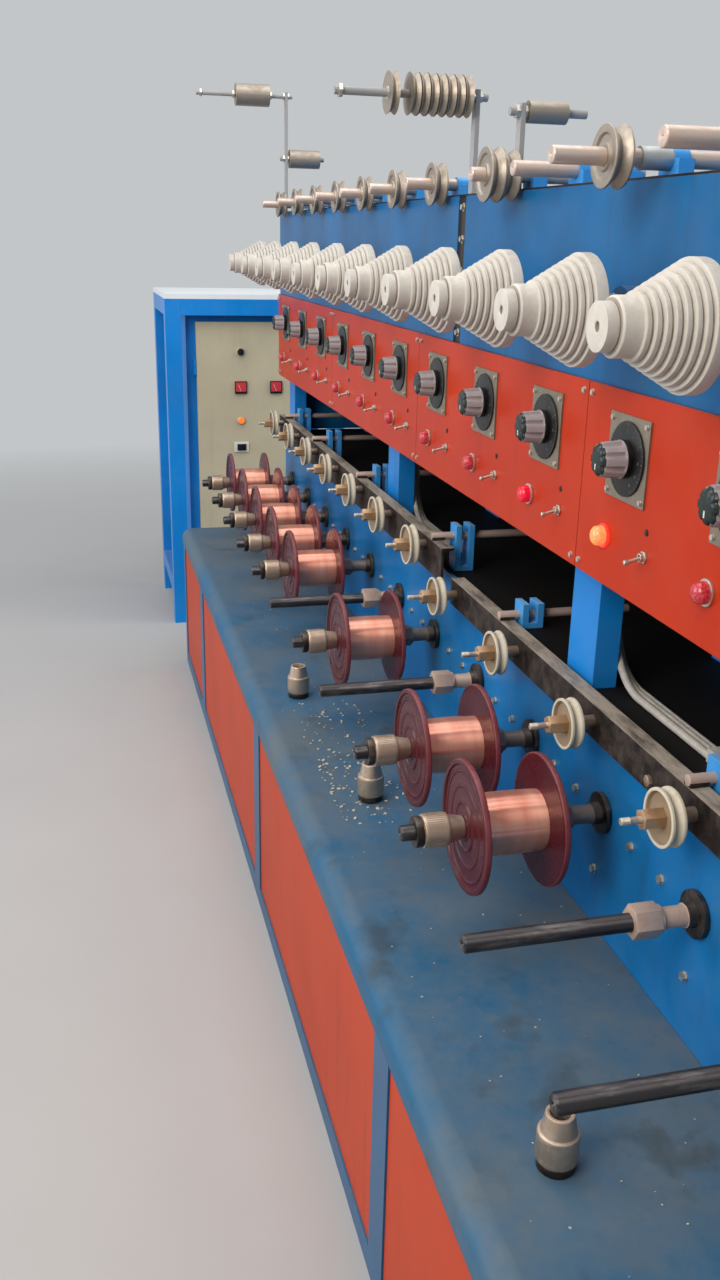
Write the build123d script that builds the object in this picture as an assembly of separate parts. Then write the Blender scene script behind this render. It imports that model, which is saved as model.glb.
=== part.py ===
from build123d import *
import math
import os

# Multi-head wire take-up machine, in millimetres.
# X runs along the machine with the near end at +X, Y runs from the front (-Y) to the back,
# and Z is up from the floor. The origin is on the floor, midway along and midway deep.
# A place is a distance from the near end, and a depth is a distance behind the bench's front.

# Row of heads from the near end: B holds a bobbin, a dot is a bare spindle
HEAD_LOADING = "..BB.B.BBBBB"
HEAD_PITCH = 280.0

# Fits and small clearances
RUNNING_CLEARANCE = 0.05
SEAT_GAP = 0.3
WELD_GAP = 0.3
LOOSE_BORE_CLEARANCE = 0.5
CUT_OVERRUN = 1.0

# Bench
BENCH_HEIGHT = 508.0
BENCH_DEPTH = 380.0
TOP_SHEET = 3.0
LIP_RADIUS = 33.0
LIP_SKIRT = 18.0
POST_WIDTH = 76.0
HEADS_PER_POST = 4
END_POST_WIDTH = 40.0
BASE_RAIL_HEIGHT = 45.0
PANEL_RECESS = 6.0
PANEL_SHEET = 3.0
PANEL_EDGE_GAP = 1.5

# Spindle panel at the back of the bench, and the drive housing behind it
SPINDLE_PANEL_PLATE = 6.0
HOUSING_DEPTH = 314.0
SPINDLE_RISE = 193.0
LEDGE_RISE = 157.0

# Bobbins
FLANGE_DIAMETER = 200.0
FLANGE_THICKNESS = 10.0
FLANGE_WEB_THICKNESS = 6.0
FLANGE_RIM_WIDTH = 8.0
FLANGE_HUB_DIAMETER = 70.0
BOBBIN_STANDOFF = 95.0
BOBBIN_LENGTH = 128.0
BARREL_DIAMETER = 80.0
WINDING_DIAMETER = 94.0

# Spindles and their clamp nuts
SPINDLE_DIAMETER = 24.0
SPINDLE_TIP_SHOW = 20.0
SPINDLE_TIP_CHAMFER = 2.0
SPINDLE_SEAT_LENGTH = 60.0
ROOT_DISC_DIAMETER = 64.0
ROOT_DISC_THICKNESS = 8.0
ROOT_DISC_GAP = 0.5
SLEEVE_DIAMETER = 28.0
COLLAR_ACROSS_FLATS = 40.0
COLLAR_LENGTH = 36.0
NUT_RING_DIAMETER = 46.0
NUT_RING_LENGTH = 12.0
NUT_GRIP_DIAMETER = 50.0
NUT_GRIP_LENGTH = 38.0
NUT_NOSE_WIDE = 42.0
NUT_NOSE_NARROW = 34.0
NUT_NOSE_LENGTH = 25.0

# Uprights that carry the upper body: the inner ones stand just past these heads
UPRIGHT_SETBACK = 16.0
UPRIGHT_WIDTH = 96.0
UPRIGHT_THICKNESS = 40.0
UPRIGHT_HEADS = (3, 7)
UPRIGHT_SHIFT = 14.0
TERMINAL_BOX_DEPTH = 40.0
TERMINAL_BOX_HEIGHT = 100.0
TERMINAL_BOX_RISE = 222.0
TERMINAL_BOX_INSET = 10.0
COVER_SHEET = 2.0

# Fascia and upper panel
FASCIA_FORWARD = 40.0
FASCIA_RISE = 196.0
FASCIA_HEIGHT = 272.0
FASCIA_SHEET = 3.0
HEADS_PER_FASCIA = 3
CONTROL_SHIFT = 18.0
SEAM_GAP = 2.0
UPPER_PANEL_FORWARD = 34.0
UPPER_PANEL_HEIGHT = 262.0
UPPER_PANEL_SHEET = 3.0
UPPER_SEAM_HEAD = 5
UPPER_SEAM_SHIFT = 20.0
UPPER_SEAM_STRIP = 40.0
TOP_COVER_SHEET = 3.0

# Stepped cones and their bearings
CONE_RISE = 103.0
CONE_REACH = 193.0
CONE_TIP_DIAMETER = 52.0
CONE_TIP_LENGTH = 15.0
CONE_RECESS_DIAMETER = 11.0
CONE_RECESS_DEPTH = 5.0
CONE_NOSE_DIAMETER = 64.0
CONE_NOSE_LENGTH = 23.0
CONE_LARGE_DIAMETER = 141.0
CONE_STEP_COUNT = 8
CONE_STEP_LENGTH = 8.5
CONE_GROOVE = 2.0
CONE_GROOVE_DEPTH = 2.0
CONE_BACK_LENGTH = 10.0
CONE_SHAFT_DIAMETER = 25.0
CONE_SHAFT_SEAT = 24.0
CONE_BEARING_DIAMETER = 62.0
CONE_BEARING_LENGTH = 32.0

# Dials, lamps and toggles on the fascia
DIAL_DROP = 86.0
DIAL_PLATE_SIZE = 114.0
DIAL_PLATE_THICKNESS = 3.0
DIAL_DISC_DIAMETER = 100.0
DIAL_DISC_THICKNESS = 3.0
KNOB_DIAMETER = 52.0
KNOB_LENGTH = 42.0
KNOB_FLUTES = 8
KNOB_FLUTE_RADIUS = 6.0
KNOB_FLUTE_DEPTH = 4.0
LAMP_RISE = 69.0
LAMP_OFFSET = 51.0
LAMP_DIAMETER = 28.0
LAMP_LENGTH = 16.0
LAMP_BEVEL = 5.0
LAMP_BEZEL_DIAMETER = 34.0
LAMP_BEZEL_LENGTH = 4.0
TOGGLE_OFFSET = 69.0
TOGGLE_NUT_DIAMETER = 16.0
TOGGLE_NUT_LENGTH = 5.0
TOGGLE_LEVER_DIAMETER = 6.0
TOGGLE_LEVER_LENGTH = 24.0

# Traverse bars with their guide rods: rises above the ledge, depths ahead of the spindle panel
BAR_THICKNESS = 6.0
BAR_FLANGE = 28.0
BAR_BREAK_HEAD = 5
BAR_BREAK_SHIFT = 10.0
BAR_BREAK = 40.0
BAR_END_MARGIN = 56.0
NEAR_BAR_FORWARD = 22.0
NEAR_BAR_RISE = 13.0
NEAR_BAR_LEG = 53.0
FAR_BAR_FORWARD = 32.0
FAR_BAR_RISE = 64.0
FAR_BAR_LEG = 70.0
ROD_DIAMETER = 16.0
ROD_TAIL = 49.0
ROD_SADDLE_WIDTH = 16.0
TRAVERSE_STROKE = 125.0
# Places of the guide rods, counted in head pitches
NEAR_ROD_HEADS = (0.57, 1.6, 4.0)
FAR_ROD_HEADS = (5.36, 7.71, 9.75, 11.43)
BLOCK_WIDTH = 40.0
EAR_THICKNESS = 12.0
EAR_SPACING = 28.0
EAR_ABOVE_ROD = 24.0
BLOCK_BASE_HEIGHT = 10.0

# Guide pulleys on the bars
PULLEY_WIDTH = 20.0
PULLEY_GROOVE = 4.0
PULLEY_RIM_LAND = 4.0
PULLEY_DISH = 6.0
PULLEY_RIM = 5.0
PULLEY_HUB_ACROSS_FLATS = 25.0
PULLEY_HUB_REACH = 33.0
PULLEY_BOLT_DIAMETER = 10.0
PULLEY_NUT_DIAMETER = 20.0
NEAR_PULLEY_DIAMETER = 76.0
NEAR_PULLEY_STANDOFF = 40.0
NEAR_PULLEY_DROP = 26.0
NEAR_BOLT_REACH = 60.0
FAR_PULLEY_DIAMETER = 84.0
FAR_PULLEY_STANDOFF = 35.0
FAR_PULLEY_DROP = 18.0
FAR_BOLT_REACH = 52.0
# Places of the pulleys, counted in head pitches: those of the near bar are bolted on past the heads
NEAR_PULLEY_HEADS = (0.5, 1.51, 2.56, 3.66, 4.85)
FAR_PULLEY_HEADS = (5.5, 6.5, 7.5, 8.5, 9.5, 10.5, 11.5)

# Sheaves along the top edge, from the near end: F front, C front with a sleeve behind it,
# B back, D both, and a dot is a bare axle
SHEAVE_LAYOUT = "F.C.DBBBBBBB"
# Places of their axles, counted in head pitches
AXLE_HEADS = (0.5, 1.5, 2.5, 3.5, 4.16, 5.5, 6.5, 7.5, 8.5, 9.5, 10.5, 11.5)
# Reach of each axle ahead of the upper panel, from the near end: L long, S short
AXLE_LAYOUT = "SLLSSSSSSSSS"
AXLE_LONG_REACH = 140.0
AXLE_SHORT_REACH = 82.0
AXLE_RISE = 20.0
AXLE_DIAMETER = 22.0
AXLE_TAIL = 125.0
SHEAVE_WIDTH = 25.0
SHEAVE_GROOVE = 9.0
SHEAVE_FRONT_DIAMETER = 84.0
SHEAVE_BACK_DIAMETER = 78.0
SHEAVE_BACK_STANDOFF = 21.0
SHEAVE_FRONT_STANDOFF = 59.0
SHEAVE_PAIR_GAP = 1.0
SLEEVED_SHEAVE_DIAMETER = 75.0
BEARING_SLEEVE_DIAMETER = 28.0
BEARING_SLEEVE_REACH = 24.0
PILLOW_WIDTH = 50.0
PILLOW_THICKNESS = 22.0
PILLOW_SETBACK = 18.0
PILLOW_SPACING = 74.0
PILLOW_ABOVE_AXLE = 14.0

# Overhead rollers on their posts: rises above the top cover, reaches ahead of the post
ROLLER_POST_WIDTH = 20.0
ROLLER_POST_THICKNESS = 8.0
ROLLER_POST_SETBACK = 4.0
ROLLER_SHAFT_DIAMETER = 14.0
ROLLER_SHAFT_END = 16.0
SMALL_SHAFT_END = 36.0
POST_HEAD = 12.0
BANK_HEADS = 5.05
BANK_RISE = 160.0
BANK_SHAFT_REACH = 255.0
BANK_WHEEL_DIAMETER = 70.0
BANK_WHEEL_WIDTH = 14.0
BANK_WHEEL_GROOVE = 6.0
BANK_WHEEL_COUNT = 7
BANK_WHEEL_SPACING = 16.0
BANK_FIRST_WHEEL_REACH = 115.0
SINGLE_WHEEL_REACH = 153.0
FAR_ROLLER_MARGIN = 70.0
FAR_ROLLER_RISE = 347.0
FAR_ROLLER_SHAFT_REACH = 285.0
FAR_ROLLER_REACH = 160.0
FAR_ROLLER_DIAMETER = 66.0
FAR_ROLLER_LENGTH = 108.0
LOW_ROLLER_RISE = 162.0
LOW_ROLLER_DIAMETER = 56.0
LOW_ROLLER_LENGTH = 100.0
SMALL_ROLLER_HEADS = 4.25
SMALL_ROLLER_RISE = 117.0
SMALL_ROLLER_DIAMETER = 34.0
SMALL_ROLLER_LENGTH = 66.0
REAR_ROLLER_BEHIND_POST = 6.0

# Cables behind the inner uprights: clipped from the terminal boxes down to the ledge and along it
CABLE_DIAMETERS = (12.0, 10.0, 8.0)
CABLE_RUN = 320.0
CABLE_SPREAD = 18.0
CABLE_GAP = 1.0
CABLE_BEND_SHARE = 0.45
CABLE_ENTRY = 6.0
GLAND_LENGTH = 30.0
GLAND_HEIGHT = 20.0

# Control cabinet and its stand at the far end
AISLE = 448.0
STAND_LENGTH = 560.0
STAND_TUBE = 60.0
STAND_TOP_SHEET = 18.0
STAND_HEIGHT = 1302.0
STAND_LOW_RAIL = 120.0
CABINET_HEADROOM = 6.0
CABINET_SETBACK = 42.0
CABINET_FROM_LEG = 22.0
CABINET_WIDTH = 480.0
CABINET_LENGTH = 240.0
CABINET_SHEET = 2.0
CABINET_FRAME = 37.0
CABINET_PLINTH = 80.0
DOOR_SHEET = 18.0
DOOR_EDGE_GAP = 2.0
DOOR_TOP_MARGIN = 20.0
DOOR_OVERLAP = 12.0
HINGE_DIAMETER = 12.0
HINGE_LENGTH = 60.0
HINGE_PLAY = 0.5
HINGE_LEAF = 4.0
HINGE_FROM_END = 140.0

# Fittings on the cabinet door: depths behind the door's front edge, drops below the cabinet's top
FITTING_FROM_EDGE = 171.0
SECOND_METER_FROM_EDGE = 311.0
METER_DROP = 269.0
METER_SIZE = 48.0
METER_STAND = 10.0
SELECTOR_DROP = 132.0
SELECTOR_DIAMETER = 30.0
SELECTOR_STAND = 16.0
DOOR_LAMP_DROP = 398.0
DOOR_LAMP_DIAMETER = 32.0
DOOR_LAMP_STAND = 14.0
SWITCH_DROP = 504.0
SWITCH_WIDTH = 58.0
SWITCH_TALL = 40.0
SWITCH_STAND = 12.0

# Loose clamp nuts left on the bench: place in head pitches, and depth
LOOSE_NUTS = ((0.89, 127.0), (4.2, 144.0), (6.1, 108.0))

# Worked out from the sizes above
HEAD_COUNT = len(HEAD_LOADING)
MACHINE_LENGTH = HEAD_COUNT * HEAD_PITCH
NEAR_X = (MACHINE_LENGTH + AISLE + STAND_LENGTH) / 2
HOUSING_FRONT = BENCH_DEPTH + SPINDLE_PANEL_PLATE
MACHINE_DEPTH = HOUSING_FRONT + HOUSING_DEPTH
FRONT_Y = -MACHINE_DEPTH / 2
SPINDLE_HEIGHT = BENCH_HEIGHT + SPINDLE_RISE
LEDGE_HEIGHT = SPINDLE_HEIGHT + LEDGE_RISE
BOBBIN_BACK = BENCH_DEPTH - BOBBIN_STANDOFF
BOBBIN_FRONT = BOBBIN_BACK - BOBBIN_LENGTH
NUT_LENGTH = NUT_RING_LENGTH + NUT_GRIP_LENGTH + NUT_NOSE_LENGTH
NUT_FRONT = BOBBIN_FRONT - SEAT_GAP - NUT_LENGTH
UPRIGHT_FACE = BENCH_DEPTH + UPRIGHT_SETBACK
UPRIGHT_BACK = UPRIGHT_FACE + UPRIGHT_THICKNESS
REAR_POST_FRONT = MACHINE_DEPTH - COVER_SHEET - UPRIGHT_THICKNESS
FASCIA_DEPTH = UPRIGHT_FACE - FASCIA_FORWARD
FASCIA_BOTTOM = LEDGE_HEIGHT + FASCIA_RISE
FASCIA_TOP = FASCIA_BOTTOM + FASCIA_HEIGHT
UPPER_PANEL_DEPTH = UPRIGHT_FACE - UPPER_PANEL_FORWARD
UPPER_PANEL_TOP = FASCIA_TOP + UPPER_PANEL_HEIGHT
COVER_TOP = UPPER_PANEL_TOP + TOP_COVER_SHEET
CONE_HEIGHT = FASCIA_TOP + CONE_RISE
DIAL_HEIGHT = FASCIA_TOP - DIAL_DROP
LAMP_HEIGHT = FASCIA_BOTTOM + LAMP_RISE
NEAR_BAR_TOP = LEDGE_HEIGHT + NEAR_BAR_RISE
FAR_BAR_TOP = LEDGE_HEIGHT + FAR_BAR_RISE
BAR_BREAK_MIDDLE = BAR_BREAK_HEAD * HEAD_PITCH + BAR_BREAK_SHIFT
BLOCK_BACK = UPRIGHT_FACE + EAR_SPACING + EAR_THICKNESS
AXLE_HEIGHT = COVER_TOP + AXLE_RISE
PILLOW_FRONT = UPPER_PANEL_DEPTH + PILLOW_SETBACK
ROLLER_POST_FRONT = UPPER_PANEL_DEPTH + ROLLER_POST_SETBACK
ROLLER_POST_BACK = ROLLER_POST_FRONT + ROLLER_POST_THICKNESS
TERMINAL_BOX_LOW = LEDGE_HEIGHT + TERMINAL_BOX_RISE
CABINET_HEIGHT = STAND_HEIGHT - STAND_TOP_SHEET - STAND_TUBE - CABINET_HEADROOM
CABINET_FIRST = STAND_TUBE + CABINET_FROM_LEG
DOOR_FIRST = CABINET_FIRST + CABINET_FRAME


def along(place):
    """X of a place along the machine."""
    return NEAR_X - place


def deep(depth):
    """Y of a depth behind the bench's front."""
    return FRONT_Y + depth


def head_place(head):
    """Place of the middle of a head, counted from 1."""
    return (head - 0.5) * HEAD_PITCH


def heads():
    """Numbers of all heads."""
    return range(1, HEAD_COUNT + 1)


def is_loaded(head):
    """Whether a head holds a bobbin."""
    return HEAD_LOADING[head - 1] == "B"


def block(start, end, front, back, low, high):
    """A box between two places, two depths and two heights."""
    size = (end - start, back - front, high - low)
    centre = (along((start + end) / 2), deep((front + back) / 2), (low + high) / 2)
    return Pos(*centre) * Box(*size)


def turned(profile, place, height):
    """A turned piece on an axis along Y, from (radius, depth) points."""
    outline = Polyline(*[(radius, deep(depth)) for radius, depth in profile], close=True)
    return Pos(along(place), 0, height) * revolve(make_face(outline), Axis.Y)


def rod_along_y(diameter, place, height, front, back):
    """A plain round bar along Y between two depths."""
    radius = diameter / 2
    return turned([(0, front), (radius, front), (radius, back), (0, back)], place, height)


def ring_along_y(outer, inner, place, height, front, back):
    """A plain ring along Y between two depths."""
    profile = [(inner / 2, front), (outer / 2, front), (outer / 2, back), (inner / 2, back)]
    return turned(profile, place, height)


def hex_along_y(across_flats, place, height, front, back):
    """A hexagon bar along Y between two depths."""
    section = RegularPolygon(across_flats / 2, 6, major_radius=False)
    return Pos(along(place), deep(back), height) * Rot(90, 0, 0) * extrude(section, back - front)


def save(name, *solids):
    """Write the solids of one node."""
    shape = solids[0] if len(solids) == 1 else Compound(children=list(solids))
    export_step(shape, f"parts/{name}.step")


def lip_outline(inset, low):
    """Bench section, inset from the outer surface, as a closed face in depth and height."""
    radius = LIP_RADIUS - inset
    top = BENCH_HEIGHT - inset
    back = BENCH_DEPTH - SEAT_GAP
    skirt = Line((inset, low), (inset, top - radius))
    curve = RadiusArc((inset, top - radius), (inset + radius, top), radius)
    rest = Polyline((inset + radius, top), (back, top), (back, low), (inset, low))
    return make_face(Curve() + [skirt, curve, rest])


def along_section(face, start, end):
    """Carry a section of (depth, height) along the machine between two places."""
    solid = extrude(Plane.YZ * Pos(FRONT_Y, 0) * face, end - start)
    return Pos(along(end), 0, 0) * solid


def bench_bays():
    """Start and end of each orange panel between the bench's posts."""
    bays = []
    start = END_POST_WIDTH
    post = HEADS_PER_POST * HEAD_PITCH / 2
    while post < MACHINE_LENGTH:
        bays.append((start, post - POST_WIDTH / 2))
        start = post + POST_WIDTH / 2
        post += HEADS_PER_POST * HEAD_PITCH
    bays.append((start, MACHINE_LENGTH - END_POST_WIDTH))
    return bays


def build_bench():
    """Bench body with posts, its orange panels and the folded top sheet."""
    inset = TOP_SHEET + SEAT_GAP
    skirt_low = BENCH_HEIGHT - LIP_RADIUS - LIP_SKIRT
    panel_high = skirt_low - PANEL_EDGE_GAP
    panel_back = inset + PANEL_RECESS
    body = along_section(lip_outline(inset, 0), 0, MACHINE_LENGTH)
    panels = []
    for start, end in bench_bays():
        body -= block(start, end, 0, panel_back, BASE_RAIL_HEIGHT, panel_high)
        panels.append(block(start + PANEL_EDGE_GAP, end - PANEL_EDGE_GAP,
                            panel_back - PANEL_SHEET, panel_back,
                            BASE_RAIL_HEIGHT + PANEL_EDGE_GAP, panel_high - PANEL_EDGE_GAP))
    sheet = along_section(lip_outline(0, skirt_low), 0, MACHINE_LENGTH)
    sheet -= along_section(lip_outline(TOP_SHEET, skirt_low), 0, MACHINE_LENGTH)
    sheet -= block(0, MACHINE_LENGTH, TOP_SHEET + CUT_OVERRUN, BENCH_DEPTH,
                   skirt_low - CUT_OVERRUN, BENCH_HEIGHT - LIP_RADIUS)
    save("bench_body", body)
    save("bench_panels", *panels)
    save("bench_top", sheet)


def build_housing():
    """Spindle panel and the drive housing behind it, bored for the spindles."""
    plate = block(0, MACHINE_LENGTH, BENCH_DEPTH, HOUSING_FRONT - SEAT_GAP, 0, LEDGE_HEIGHT)
    housing = block(0, MACHINE_LENGTH, HOUSING_FRONT, MACHINE_DEPTH, 0, LEDGE_HEIGHT)
    bore = SPINDLE_DIAMETER + 2 * RUNNING_CLEARANCE
    bore_end = HOUSING_FRONT + SPINDLE_SEAT_LENGTH + CUT_OVERRUN
    for head in heads():
        hole = rod_along_y(bore, head_place(head), SPINDLE_HEIGHT, BENCH_DEPTH - CUT_OVERRUN, bore_end)
        plate -= hole
        housing -= hole
    save("spindle_panel", plate)
    save("drive_housing", housing)


def clamp_nut():
    """Clamp nut standing on its ring, with its tapered nose up and its bore on Z."""
    bore = SPINDLE_DIAMETER / 2 + RUNNING_CLEARANCE
    grip_top = NUT_RING_LENGTH + NUT_GRIP_LENGTH
    outline = Polyline(
        (bore, 0),
        (NUT_RING_DIAMETER / 2, 0),
        (NUT_RING_DIAMETER / 2, NUT_RING_LENGTH),
        (NUT_GRIP_DIAMETER / 2, NUT_RING_LENGTH),
        (NUT_GRIP_DIAMETER / 2, grip_top),
        (NUT_NOSE_WIDE / 2, grip_top),
        (NUT_NOSE_NARROW / 2, NUT_LENGTH),
        (bore, NUT_LENGTH),
        close=True,
    )
    return revolve(Plane.XZ * make_face(outline), Axis.Z)


def build_spindle(head):
    """Spindle with root disc and hexagon collar, and its clamp nut where it holds a bobbin."""
    place = head_place(head)
    radius = SPINDLE_DIAMETER / 2
    sleeve = SLEEVE_DIAMETER / 2
    disc = ROOT_DISC_DIAMETER / 2
    tip = NUT_FRONT - SPINDLE_TIP_SHOW
    collar_front = BOBBIN_BACK + SEAT_GAP
    disc_back = BENCH_DEPTH - ROOT_DISC_GAP
    disc_front = disc_back - ROOT_DISC_THICKNESS
    end = HOUSING_FRONT + SPINDLE_SEAT_LENGTH
    spindle = turned([
        (0, tip),
        (radius - SPINDLE_TIP_CHAMFER, tip),
        (radius, tip + SPINDLE_TIP_CHAMFER),
        (radius, collar_front),
        (sleeve, collar_front),
        (sleeve, disc_front),
        (disc, disc_front),
        (disc, disc_back),
        (radius, disc_back),
        (radius, end),
        (0, end),
    ], place, SPINDLE_HEIGHT)
    spindle += hex_along_y(COLLAR_ACROSS_FLATS, place, SPINDLE_HEIGHT,
                           collar_front, collar_front + COLLAR_LENGTH)
    solids = [spindle]
    if is_loaded(head):
        solids.append(Pos(along(place), deep(NUT_FRONT), SPINDLE_HEIGHT) * Rot(-90, 0, 0) * clamp_nut())
    save(f"spindle_{head:02d}", *solids)


def build_bobbin(head):
    """Flanged bobbin with its winding, on the spindle of one head."""
    place = head_place(head)
    bore = SPINDLE_DIAMETER / 2 + LOOSE_BORE_CLEARANCE
    outer = FLANGE_DIAMETER / 2
    rim = outer - FLANGE_RIM_WIDTH
    hub = FLANGE_HUB_DIAMETER / 2
    barrel = BARREL_DIAMETER / 2
    dish = FLANGE_THICKNESS - FLANGE_WEB_THICKNESS
    bobbin = turned([
        (bore, BOBBIN_FRONT),
        (hub, BOBBIN_FRONT),
        (hub, BOBBIN_FRONT + dish),
        (rim, BOBBIN_FRONT + dish),
        (rim, BOBBIN_FRONT),
        (outer, BOBBIN_FRONT),
        (outer, BOBBIN_FRONT + FLANGE_THICKNESS),
        (barrel, BOBBIN_FRONT + FLANGE_THICKNESS),
        (barrel, BOBBIN_BACK - FLANGE_THICKNESS),
        (outer, BOBBIN_BACK - FLANGE_THICKNESS),
        (outer, BOBBIN_BACK),
        (rim, BOBBIN_BACK),
        (rim, BOBBIN_BACK - dish),
        (hub, BOBBIN_BACK - dish),
        (hub, BOBBIN_BACK),
        (bore, BOBBIN_BACK),
    ], place, SPINDLE_HEIGHT)
    winding = ring_along_y(WINDING_DIAMETER, BARREL_DIAMETER + 2 * SEAT_GAP, place, SPINDLE_HEIGHT,
                           BOBBIN_FRONT + FLANGE_THICKNESS + SEAT_GAP,
                           BOBBIN_BACK - FLANGE_THICKNESS - SEAT_GAP)
    save(f"bobbin_{head:02d}", bobbin, winding)


def build_cone(head):
    """Ceramic-coated stepped cone on its shaft."""
    depth = UPPER_PANEL_DEPTH - CONE_REACH
    recess = CONE_RECESS_DIAMETER / 2
    tip = CONE_TIP_DIAMETER / 2
    nose = CONE_NOSE_DIAMETER / 2
    large = CONE_LARGE_DIAMETER / 2
    shaft = CONE_SHAFT_DIAMETER / 2
    profile = [(0, depth + CONE_RECESS_DEPTH), (recess, depth + CONE_RECESS_DEPTH), (recess, depth),
               (tip, depth)]
    depth += CONE_TIP_LENGTH
    profile += [(tip, depth), (nose, depth)]
    depth += CONE_NOSE_LENGTH
    profile.append((nose, depth))
    rise = (large - nose) / CONE_STEP_COUNT
    for step in range(1, CONE_STEP_COUNT + 1):
        crest = nose + rise * step
        profile.append((crest, depth))
        depth += CONE_STEP_LENGTH
        if step < CONE_STEP_COUNT:
            profile.append((crest, depth - CONE_GROOVE))
            profile.append((crest - CONE_GROOVE_DEPTH, depth))
    profile += [
        (large, depth + CONE_BACK_LENGTH),
        (shaft, depth + CONE_BACK_LENGTH),
        (shaft, UPPER_PANEL_DEPTH + CONE_SHAFT_SEAT),
        (0, UPPER_PANEL_DEPTH + CONE_SHAFT_SEAT),
    ]
    save(f"cone_{head:02d}", turned(profile, head_place(head), CONE_HEIGHT))


def inner_upright_middles():
    """Place of the middle of each inner upright."""
    return [head * HEAD_PITCH + UPRIGHT_SHIFT for head in UPRIGHT_HEADS]


def upright_spans():
    """Start and end of each upright along the machine."""
    half = UPRIGHT_WIDTH / 2
    spans = [(0.0, UPRIGHT_WIDTH)]
    spans += [(middle - half, middle + half) for middle in inner_upright_middles()]
    spans.append((MACHINE_LENGTH - UPRIGHT_WIDTH, MACHINE_LENGTH))
    return spans


def terminal_box(middle):
    """Terminal box on the back of an inner upright."""
    half = UPRIGHT_WIDTH / 2 - TERMINAL_BOX_INSET
    return block(middle - half, middle + half, UPRIGHT_BACK + WELD_GAP,
                 UPRIGHT_BACK + TERMINAL_BOX_DEPTH, TERMINAL_BOX_LOW,
                 TERMINAL_BOX_LOW + TERMINAL_BOX_HEIGHT)


def build_uprights():
    """Front and rear uprights on the housing's ledge, with the rear, end and top covers."""
    posts = []
    for start, end in upright_spans():
        for front in (UPRIGHT_FACE, REAR_POST_FRONT):
            posts.append(block(start, end, front, front + UPRIGHT_THICKNESS,
                               LEDGE_HEIGHT, UPPER_PANEL_TOP))
    posts += [terminal_box(middle) for middle in inner_upright_middles()]
    save("uprights", *posts)
    covers = [block(0, MACHINE_LENGTH, UPPER_PANEL_DEPTH, MACHINE_DEPTH, UPPER_PANEL_TOP, COVER_TOP)]
    seams = [0.0, *inner_upright_middles(), MACHINE_LENGTH]
    for start, end in zip(seams, seams[1:]):
        covers.append(block(start + SEAM_GAP / 2, end - SEAM_GAP / 2, MACHINE_DEPTH - COVER_SHEET,
                            MACHINE_DEPTH, LEDGE_HEIGHT + SEAM_GAP, UPPER_PANEL_TOP - SEAM_GAP))
    for start in (0.0, MACHINE_LENGTH - COVER_SHEET):
        covers.append(block(start, start + COVER_SHEET, UPRIGHT_BACK + SEAT_GAP,
                            REAR_POST_FRONT - SEAT_GAP, LEDGE_HEIGHT + SEAM_GAP,
                            UPPER_PANEL_TOP - SEAM_GAP))
    save("covers", *covers)


def cable(diameter, *corners):
    """A round cable through corner points, its straight runs joined by tangent arcs."""
    points = [Vector(along(place), deep(depth), height) for place, depth, height in corners]
    edges = []
    start = points[0]
    for before, corner, after in zip(points, points[1:], points[2:]):
        arriving = (corner - before).normalized()
        leaving = (after - corner).normalized()
        setback = CABLE_BEND_SHARE * min((corner - before).length, (after - corner).length)
        bend_start = corner - arriving * setback
        bend_end = corner + leaving * setback
        edges.append(Edge.make_line(start, bend_start))
        edges.append(Edge.make_tangent_arc(bend_start, arriving, bend_end))
        start = bend_end
    edges.append(Edge.make_line(start, points[-1]))
    path = Wire(edges)
    section = Plane(path @ 0, z_dir=path % 0) * Circle(diameter / 2)
    return sweep(section, path=path)


def build_cables():
    """Looms behind the inner uprights, each with the gland on the ledge that it ends in."""
    looms = []
    for middle in inner_upright_middles():
        end = middle - CABLE_RUN
        place = middle - CABLE_SPREAD
        front = UPRIGHT_BACK + SEAT_GAP
        loom = block(end - GLAND_LENGTH, end, UPRIGHT_BACK, UPRIGHT_BACK + TERMINAL_BOX_DEPTH,
                     LEDGE_HEIGHT, LEDGE_HEIGHT + GLAND_HEIGHT)
        for diameter in CABLE_DIAMETERS:
            depth = front + diameter / 2
            lying = LEDGE_HEIGHT + diameter / 2
            loom += cable(diameter, (place, depth, TERMINAL_BOX_LOW - SEAT_GAP),
                          (place, depth, lying), (end - CABLE_ENTRY, depth, lying))
            place += CABLE_SPREAD
            front += diameter + CABLE_GAP
        looms.append(loom)
    save("cable_looms", *looms)


def folded_panel(start, end, face, low, high, sheet):
    """A sheet folded back on all four edges to the uprights' face."""
    pan = block(start, end, face, UPRIGHT_FACE, low, high)
    return pan - block(start + sheet, end - sheet, face + sheet, UPRIGHT_FACE + CUT_OVERRUN,
                       low + sheet, high - sheet)


def fascia_spans():
    """Start and end of each fascia panel."""
    seams = [0.0]
    for head in range(HEADS_PER_FASCIA, HEAD_COUNT, HEADS_PER_FASCIA):
        seams.append(head * HEAD_PITCH - CONTROL_SHIFT)
    seams.append(MACHINE_LENGTH)
    return [(start + SEAM_GAP / 2, end - SEAM_GAP / 2) for start, end in zip(seams, seams[1:])]


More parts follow.
